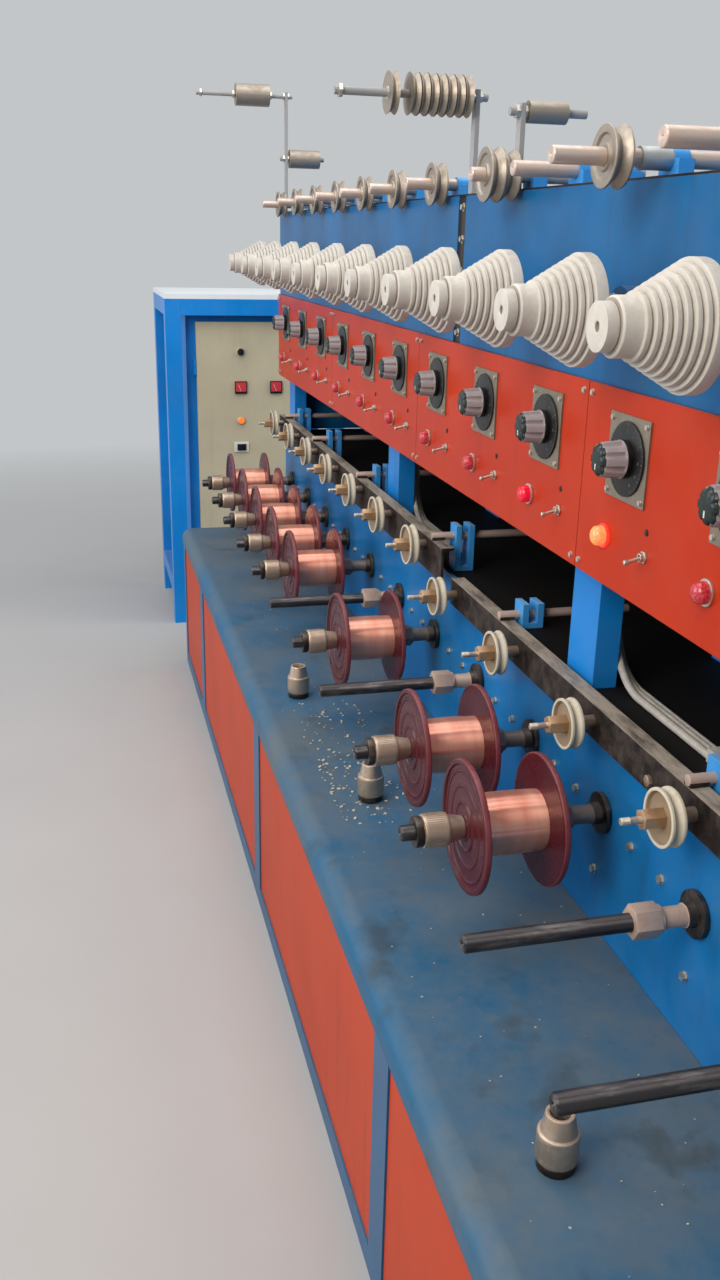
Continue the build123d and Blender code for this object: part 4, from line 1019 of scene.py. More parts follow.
class Debris(Rule):
    """Chips and dust balls scattered over a flat area, with a fixed seed."""

    sockets = {"Length": "NodeSocketFloat", "Width": "NodeSocketFloat", "Middle": "NodeSocketVector",
               "Density": "NodeSocketFloat", "Seed": "NodeSocketInt", "Chip Size": "NodeSocketFloat"}

    def build(self) -> Socket:
        """Put chips of random size and turn on points of a grid.

        Returns:
            The chips.
        """
        tree, value = self.tree, self.values
        grid = add_node(tree, "GeometryNodeMeshGrid",
                        {"Size X": value["Length"], "Size Y": value["Width"]}).outputs[0]
        moved = add_node(tree, "GeometryNodeTransform",
                         {"Geometry": grid, "Translation": value["Middle"]}).outputs[0]
        points = add_node(tree, "GeometryNodeDistributePointsOnFaces",
                          {"Mesh": moved, "Density": value["Density"], "Seed": value["Seed"]}).outputs[0]
        chip = add_node(tree, "GeometryNodeMeshIcoSphere",
                        {"Radius": value["Chip Size"], "Subdivisions": 1}).outputs[0]
        flat = add_node(tree, "GeometryNodeTransform", {"Geometry": chip, "Scale": CHIP_SHAPE}).outputs[0]
        turn = add_node(tree, "FunctionNodeRandomValue",
                        {"Min": (0.0, 0.0, 0.0), "Max": CHIP_TURN, "Seed": value["Seed"]},
                        data_type="FLOAT_VECTOR").outputs[0]
        size = add_node(tree, "FunctionNodeRandomValue", {2: 0.25, 3: 1.3, "Seed": value["Seed"]},
                        data_type="FLOAT").outputs[1]
        return add_node(tree, "GeometryNodeInstanceOnPoints",
                        {"Points": points, "Instance": flat, "Rotation": turn, "Scale": size}).outputs[0]


class Facing(Enum):
    """The way that a bolt head looks."""

    FRONT = (math.radians(90), 0.0, 0.0)
    BACK = (math.radians(-90), 0.0, 0.0)
    FAR_END = (0.0, math.radians(-90), 0.0)
    NEAR_END = (0.0, math.radians(90), 0.0)


@dataclass(frozen=True)
class Bolts:
    """One row of bolt heads, in machine millimetres."""

    start: Point
    step: Point = (0.0, 0.0, 0.0)
    count: int = 1
    facing: Facing = Facing.FRONT
    corners: float = 12.0
    height: float = 5.0
    washer: float = 15.0
    washer_thickness: float = 1.2
    sides: int = 6


class Machine:
    """Shared tools of the sub-assemblies: the finishes and the rules."""

    def __init__(self) -> None:
        """Build the finishes and the rules."""
        self.finishes = Finishes()
        self.bolt_row = BoltRow("bolt_row")
        self.rib_ring = RibRing("rib_ring")
        self.debris = Debris("debris")

    def bolts(self, name: str, body: str, slot: str, rows: Sequence[Bolts],
              finish: bpy.types.Material) -> None:
        """Make rows of bolt heads as one piece.

        Args:
            name: The piece's name.
            body: The body that it rides on.
            slot: The record's material slot.
            rows: The rows.
            finish: Their material.
        """
        shape = Shape(finish)
        for row in rows:
            step = Vector((-row.step[0], row.step[1], row.step[2])) * MM
            mesh = self.bolt_row.mesh(Count=row.count, Start=world(*row.start)[:], Step=step[:],
                                      Facing=row.facing.value, Across_Corners=row.corners * MM,
                                      Head_Height=row.height * MM, Washer_Diameter=row.washer * MM,
                                      Washer_Thickness=row.washer_thickness * MM, Sides=row.sides,
                                      Finish=finish)
            shape.paste(mesh)
        shape.piece(name, body, slot)

    def ribs(self, shape: Shape, count: int, radius: float, centre: Point, size: Point,
             start: float = 0.0, sweep: float = 2 * math.pi, finish: int = 0) -> None:
        """Add a ring of ribs to a shape.

        Args:
            shape: The shape that gets the ribs.
            count: How many.
            radius: Their distance from the axle, in mm.
            centre: Place, depth and height of the ring's middle.
            size: Each rib's size outward, in depth and round the ring.
            start: The first rib's angle.
            sweep: The angle that they are spread over.
            finish: Number of the shape's material.
        """
        mesh = self.rib_ring.mesh(Count=count, Radius=radius * MM, From=start, Sweep=sweep,
                                  Rib_Size=(size[0] * MM, size[1] * MM, size[2] * MM),
                                  Centre=world(*centre)[:], Finish=shape.finishes[finish])
        shape.paste(mesh, finish)

    def dress(self, node: str, finish: bpy.types.Material) -> None:
        """Give a CAD node a better material.

        Args:
            node: The node's name.
            finish: The material.
        """
        materials = frame["nodes"][node].data.materials
        materials.clear()
        materials.append(finish)


@dataclass
class Spindles:
    """Spindles with root disc, hexagon collar and clamp nut, and the loose nuts on the bench."""

    machine: Machine
    height: float = 701.0
    diameter: float = 24.0
    tip: float = 61.7
    nut_front: float = 81.7
    bobbin_back: float = 285.3
    panel: float = 380.0
    collar_corners: float = 46.2
    collar_length: float = 36.0
    shoulder: float = 38.0
    shoulder_length: float = 4.0
    sleeve: float = 28.0
    disc: float = 64.0
    disc_front: float = 371.5
    knurl_ribs: int = 44
    knurl_radius: float = 24.9
    knurl_middle: float = 31.0
    knurl_rib: Point = (1.2, 28.0, 1.6)
    bench: float = 508.0
    loose: tuple = ((249.2, 127.0), (1176.0, 144.0), (1708.0, 108.0))

    def nut(self, shape: Shape, centre: Point, axis: Axis, finish: int) -> None:
        """Add a clamp nut whose ring end is at the centre.

        Args:
            shape: The shape that gets it.
            centre: Place, depth and height of the ring end's middle.
            axis: The way that its nose points.
            finish: Number of the nut's first material: steel, dark ring.
        """
        bore = self.diameter / 2 + 0.1
        outline = [(radius, station, finish + 1) for radius, station in ((bore, 0), (23, 0), (23, 11))]
        outline += [(radius, station, finish) for radius, station in (
            (21.5, 12), (24.6, 12.6), (25, 16), (25, 46), (24.6, 50), (21.4, 50.4), (21, 53), (17.6, 72),
            (17, 75), (bore, 75))]
        shape.turned(rounded(outline, 0.9, 2), centre, axis, 56)

    def spindle(self, head: int) -> None:
        """Build one head's spindle.

        Args:
            head: The head's number.
        """
        finishes = self.machine.finishes
        # Loaded heads get the darker collar: painted shade from the bobbin's back flange.
        collar = finishes.stained_collar if head in LOADED_HEADS else finishes.collar_steel
        shape = Shape(finishes.black_steel, collar, finishes.disc_steel, finishes.nut_steel,
                      finishes.nut_ring)
        centre = (head_place(head), 0.0, self.height)
        radius, sleeve = self.diameter / 2, self.sleeve / 2
        outline = [(0, self.tip + 5), (3.5, self.tip), (radius - 2, self.tip), (radius, self.tip + 2),
                   (radius, self.bobbin_back, 1), (sleeve, self.bobbin_back, 1),
                   (sleeve, self.disc_front - 12, 1), (sleeve + 3, self.disc_front - 12, 2),
                   (sleeve + 3, self.disc_front, 2), (self.disc / 2, self.disc_front, 2),
                   (self.disc / 2, self.panel - 0.5, 2), (radius, self.panel - 0.5),
                   (radius, self.panel + 4), (0, self.panel + 4)]
        shape.turned(rounded(outline, 0.8, 2), centre, segments=48)
        collar_back = self.bobbin_back + self.collar_length
        shape.bar(self.collar_corners, self.bobbin_back, collar_back, centre, finish=1, segments=6, edge=1.6)
        shape.bar(self.shoulder, collar_back, collar_back + self.shoulder_length, centre, finish=1)
        if head in LOADED_HEADS:
            self.nut(shape, (centre[0], self.nut_front, self.height), Axis.DEPTH, 3)
            self.machine.ribs(shape, self.knurl_ribs, self.knurl_radius,
                              (centre[0], self.nut_front + self.knurl_middle, self.height),
                              self.knurl_rib, finish=3)
        shape.piece(f"spindle_{head:02d}_turned", f"spindle_{head:02d}_body", "spindle_steel",
                    [f"spindle_{head:02d}"])

    def build(self) -> None:
        """Build every spindle and the loose nuts."""
        for head in HEADS:
            self.spindle(head)
        shape = Shape(self.machine.finishes.nut_steel, self.machine.finishes.nut_ring)
        for place, depth in self.loose:
            self.nut(shape, (place, depth, self.bench), Axis.UP, 0)
        shape.piece("loose_nuts_turned", "machine", "spindle_steel", ["loose_clamp_nuts"])


@dataclass
class Bobbins:
    """Maroon bobbins with their copper winding."""

    machine: Machine
    height: float = 701.0
    front: float = 157.0
    length: float = 128.0
    flange: float = 200.0
    bore: float = 25.0
    barrel: float = 80.0
    winding: float = 94.0
    wire_inset: float = 10.3
    wire_steps: int = 34
    swell: float = 1.6
    uneven: float = 0.12

    def flange_face(self, outward: float, sign: int) -> list[tuple]:
        """Outer face of a flange from the bore to the rim.

        Args:
            outward: Depth of the flange's outer plane.
            sign: 1 where the flange's body lies behind that plane, -1 where it lies in front.

        Returns:
            (radius, depth, finish) points, from the bore outward.
        """
        steps = [(self.bore / 2, 0), (20, 0), (22, 2.5), (33, 2.5), (35, 0.6), (38, 4), (58, 4),
                 (59, 2.6), (62, 2.6), (63, 4), (80, 4), (81, 2.4), (84, 2.4), (85, 4), (91, 4), (92.5, 0.4),
                 (96, 0)]
        return [(radius, outward + sign * drop, 0) for radius, drop in steps]

    def spool(self) -> list[tuple]:
        """Outline of both flanges and the barrel.

        Returns:
            (radius, depth, finish) points.
        """
        outer, barrel, back = self.flange / 2, self.barrel / 2, self.front + self.length
        front_rim = [(outer - 0.6, 0.8, 1), (outer, 4, 1), (outer, 8, 1), (outer - 1, 9.6, 0), (93, 10, 0),
                     (barrel + 2, 10, 0), (barrel, 12, 0)]
        back_rim = [(barrel, 12, 0), (barrel + 2, 10, 0), (93, 10, 0), (outer - 1, 9.6, 1), (outer, 8, 1),
                    (outer, 4, 1), (outer - 0.6, 0.8, 0)]
        return [*self.flange_face(self.front, 1),
                *((radius, self.front + inset, finish) for radius, inset, finish in front_rim),
                *((radius, back - inset, finish) for radius, inset, finish in back_rim),
                *reversed(self.flange_face(back, -1))]

    def wire(self, seed: int) -> list[tuple]:
        """Outline of the wound wire, fuller in the middle and a little uneven.

        Args:
            seed: Seed of the unevenness.

        Returns:
            (radius, depth, finish) points.
        """
        wander = random.Random(seed)
        first, last = self.front + self.wire_inset, self.front + self.length - self.wire_inset
        outline = [(self.barrel / 2 + 0.4, first, 2)]
        for step in range(self.wire_steps + 1):
            share = step / self.wire_steps
            swell = self.swell * math.sin(math.pi * share) + wander.uniform(-self.uneven, self.uneven)
            outline.append((self.winding / 2 - 1.4 + swell, first + (last - first) * share, 2))
        return [*outline, (self.barrel / 2 + 0.4, last, 2)]

    def build(self) -> None:
        """Build the bobbins of the loaded heads."""
        finishes = self.machine.finishes
        for head in LOADED_HEADS:
            shape = Shape(finishes.maroon, finishes.maroon_rim, finishes.copper)
            centre = (head_place(head), 0.0, self.height)
            shape.turned(rounded(self.spool(), 0.7, 2), centre, segments=96)
            shape.turned(self.wire(head), centre, segments=96)
            shape.piece(f"bobbin_{head:02d}_wound", f"spindle_{head:02d}_body", "bobbin_maroon",
                        [f"bobbin_{head:02d}"], crease=40.0)


@dataclass
class Cones:
    """Stepped ceramic cones on their shafts, with the bearing flanges behind them."""

    machine: Machine
    height: float = 1429.0
    front: float = 169.0
    tip: float = 52.0
    tip_length: float = 15.0
    nose: float = 64.0
    nose_length: float = 23.0
    large: float = 141.0
    steps: int = 8
    step_length: float = 8.5
    back_length: float = 10.0
    panel: float = 362.0
    bearing_front: float = 330.0
    bolt_circle: float = 24.0
    bolt_count: int = 4

    def profile(self) -> list[tuple]:
        """The cone's outline from its tip to its shaft.

        Returns:
            (radius, depth, finish) points.
        """
        depth, tip, nose, large = self.front, self.tip / 2, self.nose / 2, self.large / 2
        shoulder = depth + self.tip_length
        outline = [(0, depth + 5, 1), (5.5, depth + 5, 1), (5.5, depth + 0.6), (7, depth), (tip, depth),
                   (tip, shoulder - 1.4, 1), (tip - 1, shoulder, 1), (nose - 2, shoulder),
                   (nose, shoulder + 2)]
        depth += self.tip_length + self.nose_length
        outline.append((nose, depth))
        rise = (large - nose) / self.steps
        for step in range(1, self.steps + 1):
            crest = nose + rise * step
            outline += [(crest - 0.4, depth + 0.2), (crest, depth + 1.2)]
            depth += self.step_length
            if step < self.steps:
                outline += [(crest, depth - 2.6, 1), (crest - 2, depth - 1.6, 1), (crest - 2, depth - 0.2)]
        back = depth + self.back_length
        outline += [(large, back - 2), (large - 3, back), (large - 14, back), (large - 20, depth + 4),
                    (26, depth + 4), (24, back), (12.5, back + 2, 2), (12.5, self.panel + 2, 2),
                    (0, self.panel + 2, 2)]
        return outline

    def build(self) -> None:
        """Build the cones, and the bolts of their bearings."""
        finishes = self.machine.finishes
        rows = []
        for head in HEADS:
            # The second finish, on the groove and recess faces, is painted shade.
            shape = Shape(finishes.ceramic, finishes.ceramic_groove, finishes.disc_steel)
            shape.turned(rounded(self.profile(), 0.5, 2), (head_place(head), 0.0, self.height), segments=80)
            shape.piece(f"cone_{head:02d}_coated", f"cone_{head:02d}_body", "cone_ceramic",
                        [f"cone_{head:02d}"], crease=50.0)
            for turn in range(self.bolt_count):
                angle = math.pi / 4 + turn * 2 * math.pi / self.bolt_count
                rows.append(Bolts((head_place(head) + self.bolt_circle * math.cos(angle), self.bearing_front,
                                   self.height + self.bolt_circle * math.sin(angle)),
                                  corners=8, height=4, washer=9))
        self.machine.bolts("cone_bearing_bolts", "machine", "plate_steel", rows, finishes.bolt_steel)


@dataclass
class Controls:
    """Dials, lamps and toggles on the orange fascia, with its screws."""

    machine: Machine
    face: float = 356.0
    shift: float = 18.0
    low: float = 1054.0
    high: float = 1326.0
    dial_height: float = 1240.0
    disc: float = 100.0
    plate: float = 3.0
    disc_front: float = 350.0
    dial_sets: tuple = (range(1, 7), range(7, 13))
    scale_start: float = 240.0
    scale_sweep: float = 300.0
    scale_top: int = 10
    numeral_radius: float = 37.0
    numeral_size: float = 6.5
    lamp_height: float = 1123.0
    lamp_offset: float = 51.0
    toggle_offset: float = 69.0
    plug_height: float = 1156.0
    lit_amber: tuple = (3,)
    lit_red: tuple = (4,)
    screw_inset: float = 14.0
    dial_screw: float = 49.0

    def numerals(self) -> list[bpy.types.Mesh]:
        """Model the scale's numbers, centred on the origin.

        Returns:
            Flat meshes of 0 to the scale's top.
        """
        meshes = []
        for number in range(self.scale_top + 1):
            curve = bpy.data.curves.new(f"numeral_{number}", "FONT")
            curve.body = str(number)
            curve.size = self.numeral_size * MM
            curve.extrude = 0.15 * MM
            curve.align_x = "CENTER"
            curve.align_y = "CENTER"
            curve.resolution_u = 2
            carrier = bpy.data.objects.new("numeral_carrier", curve)
            bpy.context.scene.collection.objects.link(carrier)
            meshes.append(evaluated_mesh(carrier))
        return meshes

    def scale(self, shape: Shape, centre: Point, numerals: Sequence[bpy.types.Mesh]) -> None:
        """Print a scale on a disc: long and short ticks, and numbers.

        Args:
            shape: The shape that gets it.
            centre: Middle of the disc's front.
            numerals: Meshes of the numbers.
        """
        first, sweep = math.radians(self.scale_start), math.radians(self.scale_sweep)
        for gaps, radius, tick in ((self.scale_top, 46.5, (5.0, 0.5, 0.9)),
                                   (4 * self.scale_top, 47.5, (3.0, 0.4, 0.5))):
            self.machine.ribs(shape, gaps + 1, radius, centre, tick, first - sweep, sweep * (gaps + 1) / gaps,
                              finish=1)
        upright = Euler((math.radians(90), 0.0, 0.0)).to_matrix().to_4x4()
        for number, mesh in enumerate(numerals):
            angle = first - sweep * number / self.scale_top
            spot = world(centre[0], centre[1] - 0.1, centre[2])
            spot += Vector((math.cos(angle), 0.0, math.sin(angle))) * self.numeral_radius * MM
            shape.paste(mesh, 1, Matrix.Translation(spot) @ upright)

    def dials(self) -> None:
        """Build black discs with their scales, and fluted knobs with dark ends."""
        finishes = self.machine.finishes
        numerals = self.numerals()
        for heads in self.dial_sets:
            shape = Shape(finishes.black_plastic, finishes.dim_print, finishes.knob_grey, finishes.knob_end,
                          finishes.white_print)
            for head in heads:
                place = head_place(head) - self.shift
                shape.bar(self.disc, self.disc_front, self.face - self.plate,
                          (place, 0.0, self.dial_height), segments=72)
                self.scale(shape, (place, self.disc_front, self.dial_height), numerals)
                self.knob(shape, (place, self.disc_front, self.dial_height))
            shape.piece(f"dials_and_knobs_from_{heads[0]:02d}", "machine", "dial_black",
                        ["dials"] if heads is self.dial_sets[0] else [])

    def knob(self, shape: Shape, centre: Point, lobes: int = 8, points: int = 64) -> None:
        """Add a lobed knob with its pointer line, standing on its disc.

        Args:
            shape: The shape that gets it.
            centre: Middle of the disc's front.
            lobes: Flutes round the knob.
            points: Faces round the knob.
        """
        place, back, height = centre
        stations = [(0.0, 25.0, 0), (3.0, 26.0, 0), (8.0, 26.0, 0), (10.0, 25.0, 2), (33.0, 23.5, 2),
                    (37.0, 22.0, 2), (39.0, 20.5, 3), (41.0, 18.0, 3), (42.0, 14.0, 3)]
        rings = []
        for rise, radius, finish in stations:
            flute = 3.2 if finish else 0.0
            angles = [2 * math.pi * index / points for index in range(points)]
            reaches = [radius - flute * max(0.0, -math.cos(lobes * angle)) ** 0.8 for angle in angles]
            rings.append([shape.mesh.verts.new(world(place + reach * math.cos(angle), back - rise,
                                                     height + reach * math.sin(angle)))
                          for reach, angle in zip(reaches, angles)])
        shape.skin(rings, [finish for _, _, finish in stations[1:]])
        shape.face(rings[0], 2)
        shape.face(rings[-1], 3)
        shape.block(place - 1.2, place + 1.2, back - 42.6, back - 41.6, height - 13, height - 5, 4, edge=0.3)

    def lamps(self) -> None:
        """Build lamps with a bezel and a rounded lens."""
        finishes = self.machine.finishes
        shape = Shape(finishes.bolt_steel, finishes.lamp_dark, finishes.lamp_red, finishes.lamp_amber,
                      finishes.lamp_ring)
        lens = [(0, -20), (5, -19.6), (10, -17.8), (13, -14.8), (14, -11), (14, -4), (13, -3), (13, -1),
                (0, -1)]
        for head in HEADS:
            centre = (head_place(head) - self.shift + self.lamp_offset, self.face, self.lamp_height)
            colour = 3 if head in self.lit_amber else 2 if head in self.lit_red else 1
            # The amber lamp's bezel takes the glowing red that is a painted halo.
            shape.ring(34.0, 25.0, -4, 0, centre, finish=4 if colour == 3 else 0, segments=40)
            shape.turned([(*point, colour) for point in lens], centre, segments=40)
        shape.piece("lamps_with_lenses", "machine", "lamp_red", ["indicator_lamps"])

    def toggles(self) -> None:
        """Build toggle switches with nut and lever, and the dark plug above each."""
        finishes = self.machine.finishes
        shape = Shape(finishes.bolt_steel, finishes.black_plastic)
        for head in HEADS:
            place = head_place(head) - self.shift - self.toggle_offset
            centre = (place, self.face, self.lamp_height)
            shape.bar(18.0, -3, 0, centre, segments=6)
            shape.ring(12.0, 7.0, -8, -3, centre, segments=24)
            shape.tube([(place, self.face - reach, self.lamp_height - drop)
                        for reach, drop in ((4, 0), (14, 3), (26, 6))], 5.0, segments=12)
            shape.bar(7.5, -29, -22, (place, self.face, self.lamp_height - 6), segments=16, edge=2.5)
            shape.bar(9.0, -1.5, 0, (place, self.face, self.plug_height), finish=1, segments=20)
        shape.piece("toggles_with_levers", "machine", "plate_steel", ["toggle_switches"])

    def build(self) -> None:
        """Build the controls, and the screws of the fascia and the dial plates."""
        self.dials()
        self.lamps()
        self.toggles()
        rows = []
        rise = self.high - self.low - 2 * self.screw_inset
        for head in range(0, HEAD_COUNT + 1, 3):
            for side in (-self.screw_inset, self.screw_inset):
                place = head * HEAD_PITCH - self.shift + side
                if 0 < place < HEAD_COUNT * HEAD_PITCH:
                    rows.append(Bolts((place, self.face, self.low + self.screw_inset), (0, 0, rise), 2,
                                      corners=8, height=2.4, washer=10.0, sides=16))
        for head in HEADS:
            for side in (-self.dial_screw, self.dial_screw):
                rows.append(Bolts((head_place(head) - self.shift + side, self.face - self.plate,
                                   self.dial_height - self.dial_screw), (0, 0, 2 * self.dial_screw), 2,
                                  corners=7, height=2.0, washer=8.0, sides=16))
        self.machine.bolts("fascia_screws", "machine", "plate_steel", rows, self.machine.finishes.bolt_steel)


@dataclass
class Traverse:
    """One traverse bar: angle iron with its guide rods, and the pulleys on their bolts.

    The places of its rods and pulleys are counted in heads from the near end."""

    machine: Machine
    side: str
    span: tuple[float, float]
    front: float
    top: float
    leg: float
    rods: Sequence[float]
    pulleys: Sequence[float]
    diameter: float
    wheel: float
    axis: float
    reach: float
    studs: tuple = ()
    stud_drop: float = 36.0
    thickness: float = 6.0
    fillet: float = 6.0
    toe: float = 3.6
    flange: float = 28.0
    width: float = 20.0
    hub_reach: float = 33.0
    bore: float = 5.1
    thread: float = 5.0
    root: float = 4.4
    rod: float = 16.0
    rod_back: float = 610.0

    def angle(self, shape: Shape) -> None:
        """Add the rolled angle: square outer corner, rounded toes and a fillet inside.

        Args:
            shape: The shape that gets it.
        """
        leg, flange, sheet, fillet = self.leg, self.flange, self.thickness, self.fillet
        section = [(0, -0.6), (0.6, 0), (flange - 0.5, 0), (flange, -0.6), (flange, -2.0),
                   (flange - self.toe, -sheet)]
        section += [(sheet + fillet * (1 - math.sin(turn)), -sheet - fillet * (1 - math.cos(turn)))
                    for turn in (math.pi / 2 * step / 5 for step in range(6))]
        section += [(sheet, self.toe - leg), (2.0, -leg), (0.6, -leg), (0, 0.6 - leg)]
        ends = [[shape.mesh.verts.new(world(place, self.front + depth, self.top + rise))
                 for depth, rise in section] for place in self.span]
        shape.skin(ends, [0])
        for end in ends:
            shape.face(end, 0)

    def bar(self) -> None:
        """Build the bar, its guide rods in their saddles, and the bolts with their nuts."""
        finishes = self.machine.finishes
        shape = Shape(finishes.bar_iron, finishes.rod_steel, finishes.bolt_steel, finishes.nut_steel)
        self.angle(shape)
        rod_axis = self.top + self.rod / 2
        for share in self.rods:
            place = share * HEAD_PITCH
            shape.bar(self.rod, self.front, self.rod_back, (place, 0.0, rod_axis), finish=1, edge=1.5)
            shape.block(place - 8, place + 8, self.front + 0.3, self.front + self.flange - 0.3,
                        self.top + 0.2, rod_axis - 1, 0, edge=0.8)
        tip, half, back = -self.reach, self.width / 2, self.front - self.wheel
        bolt = [(0, tip), (self.thread - 0.8, tip)]
        for turn in range(12):
            bolt += [(self.thread, tip + 0.6 + turn), (self.root, tip + 1.1 + turn)]
        bolt += [(self.thread, -self.hub_reach), (self.thread, back), (0, back)]
        for share in self.pulleys:
            centre = (share * HEAD_PITCH, self.wheel, self.axis)
            shape.turned([(*point, 2) for point in bolt], centre, segments=20)
            shape.bar(18.0, half + 0.5, half + 6.5, centre, finish=2, segments=6, edge=1.0)
            shape.bar(20.0, half + 7.0, back, centre, finish=3, segments=24)
        for place in self.studs:
            shape.bar(17.0, self.front - 6, self.front, (place, 0.0, self.top - self.stud_drop), finish=3,
                      segments=6)
        shape.piece(f"{self.side}_bar_with_rods", f"{self.side}_traverse", "bar_iron",
                    [f"{self.side}_traverse_bar"])

    def wheels(self) -> None:
        """Build the pulleys: a wide cream band round a dished face whose brown is dirt and painted shade,
        with a hexagon hub.
        """
        finishes = self.machine.finishes
        shape = Shape(finishes.nylon, finishes.pulley_face, finishes.hub_brass)
        rim, half, bore = self.diameter / 2, self.width / 2, self.bore
        groove = [(rim - 4.0 * math.sin(math.pi * step / 8), -6.0 + 12.0 * step / 8) for step in range(9)]
        outline = [(bore, 6 - half, 1), (14, 6 - half, 1), (rim - 6, 6 - half, 1), (rim - 4.6, 0.8 - half),
                   (rim - 4, -half), (rim - 0.8, -half), (rim, 0.8 - half), *groove, (rim, half - 0.8),
                   (rim - 0.8, half), (rim - 6, half), (rim - 7, half - 3, 1), (16, half - 3, 1),
                   (14, half, 1), (bore, half, 1)]
        hub = [(bore, -self.hub_reach, 2), (14.2, -self.hub_reach, 2), (14.2, 7 - half, 2),
               (bore, 7 - half, 2)]
        for share in self.pulleys:
            centre = (share * HEAD_PITCH, self.wheel, self.axis)
            shape.turned(rounded(outline, 0.5, 2), centre, segments=64)
            shape.turned(rounded(hub, 1.2, 2), centre, segments=6, turn=math.pi / 6)
        shape.piece(f"{self.side}_pulleys_turned", f"{self.side}_traverse", "pulley_nylon",
                    [f"{self.side}_guide_pulleys"])

    def build(self) -> None:
        """Build the bar and its pulleys."""
        self.bar()
        self.wheels()


@dataclass
class Sheaves:
    """Sheaves and axles along the top edge."""

    machine: Machine
    height: float = 1611.0
    layout: str = "F.C.DBBBBBBB"
    axles: tuple = (0.5, 1.5, 2.5, 3.5, 4.16, 5.5, 6.5, 7.5, 8.5, 9.5, 10.5, 11.5)
    long_axles: tuple = (1.5, 2.5)
    long_reach: float = 140.0
    short_reach: float = 82.0
    panel: float = 362.0
    pillow: float = 380.0
    radius: float = 11.0
    tail: float = 125.0
    half_width: float = 12.5

    def wheel(self, shape: Shape, diameter: float, centre: Point) -> None:
        """Add one sheave with a recessed web and a V groove.

        Args:
            shape: The shape that gets it.
            diameter: Diameter over the rims.
            centre: Place, depth and height of its middle.
        """
        rim, bore, half = diameter / 2, self.radius + 0.1, self.half_width
        outline = [(bore, -half), (16.5, -half), (17.5, -9), (rim - 12, -9), (rim - 10, -half),
                   (rim - 0.8, -half), (rim, -11.6), (rim, -9.5), (rim - 8.2, -1.4), (rim - 9, 0),
                   (rim - 8.2, 1.4), (rim, 9.5), (rim, 11.6), (rim - 0.8, half), (bore, half)]
        shape.turned(rounded(outline, 0.6, 2), centre, segments=56)

    def build(self) -> None:
        """Build the wheels with their axles and the bearing sleeve."""
        finishes = self.machine.finishes
        shape = Shape(finishes.roller_steel, finishes.axle_steel, finishes.sleeve_grey)
        wheels = {"F": [(84.0, 303.0)], "C": [(75.0, 303.0)], "B": [(78.0, 341.0)],
                  "D": [(84.0, 315.0), (78.0, 341.0)], ".": []}
        radius, back = self.radius, self.panel + self.tail
        for kind, share in zip(self.layout, self.axles):
            place = share * HEAD_PITCH
            front = self.panel - (self.long_reach if share in self.long_axles else self.short_reach)
            axle = [(0, front + 4, 1), (2, front, 1), (radius - 1, front, 1), (radius, front + 1.5, 1),
                    (radius, back, 1), (0, back, 1)]
            shape.turned(rounded(axle, 0.6, 2), (place, 0.0, self.height), segments=32)
            if kind == "C":
                shape.ring(28.0, 2 * radius, self.panel - 24, self.pillow - 0.3, (place, 0.0, self.height),
                           finish=2)
            for diameter, middle in wheels[kind]:
                self.wheel(shape, diameter, (place, middle, self.height))
        shape.piece("sheaves_turned", "machine", "roller_grey", ["guide_sheaves"])


@dataclass
class Overhead:
    """Nuts on the shafts over the top cover."""

    machine: Machine
    post: float = 366.0
    post_thickness: float = 8.0
    bank: tuple = (1414.0, 1751.0)
    tall: tuple = (3290.0, 1938.0)
    low: tuple = (3290.0, 1753.0)
    small: tuple = (1190.0, 1708.0)

    def build(self) -> None:
        """Build the end nuts of the shafts."""
        shape = Shape(self.machine.finishes.bolt_steel)
        for (place, height), fronts in ((self.bank, (118.0, 205.0)), (self.tall, (92.0, 196.0, 316.0))):
            for front in fronts:
                shape.bar(24.0, front, front + 7, (place, 0.0, height), segments=6)
        back = self.post + self.post_thickness
        for (place, height), behind in ((self.bank, 6.0), (self.tall, 6.0), (self.low, 5.0),
                                        (self.small, 5.0)):
            shape.bar(22.0, self.post - 7, self.post - 0.2, (place, 0.0, height), segments=6)
            shape.bar(20.0, back + 0.2, back + behind, (place, 0.0, height), segments=6)
        shape.piece("roller_shaft_nuts", "machine", "plate_steel")


@dataclass
class Cabinet:
    """Meters, selector, lamp and rocker switch on the control cabinet's door."""

    machine: Machine
    front: float = 3850.0
    near: float = 290.0
    far: float = 430.0
    meters: float = 949.0
    selector: float = 1086.0
    lamp: float = 820.0
    rocker: float = 714.0

    def build(self) -> None:
        """Build the door's fittings."""
        finishes = self.machine.finishes
        shape = Shape(finishes.black_plastic, finishes.meter_face, finishes.lamp_orange, finishes.white_print,
                      finishes.bolt_steel)
        door, near, height = self.front, self.near, self.meters
        for depth in (near, self.far):
            shape.block(door - 10, door, depth - 24, depth + 24, height - 24, height + 24, edge=2.0)
            shape.block(door - 11, door - 8, depth - 20, depth + 20, height - 16, height + 20, 1, edge=0.8)
            shape.tube([(door - 11.5, depth, height - 14), (door - 11.5, depth - 10, height + 12)], 1.4, 3, 6)
        for diameter, front, back, height, finish, edge in (
                (30.0, -9, 0, self.selector, 4, 0.8), (26.0, -16, -9, self.selector, 0, 2.0),
                (32.0, -5, 0, self.lamp, 4, 0.8), (27.0, -14, -5, self.lamp, 2, 5.0)):
            shape.bar(diameter, front, back, (door, near, height), Axis.ALONG, finish, edge=edge)
        for front, back, half, height, rise, finish, edge in (
                (-20, -12, 3, self.selector, 12, 0, 1.0), (-6, 0, 29, self.rocker, 20, 3, 2.0),
                (-12, -5, 18, self.rocker, 13, 0, 2.5)):
            shape.block(door + front, door + back, near - half, near + half, height - rise, height + rise,
                        finish, edge)
        shape.piece("door_fittings_detailed", "cabinet_door_body", "fitting_black", ["door_fittings"])


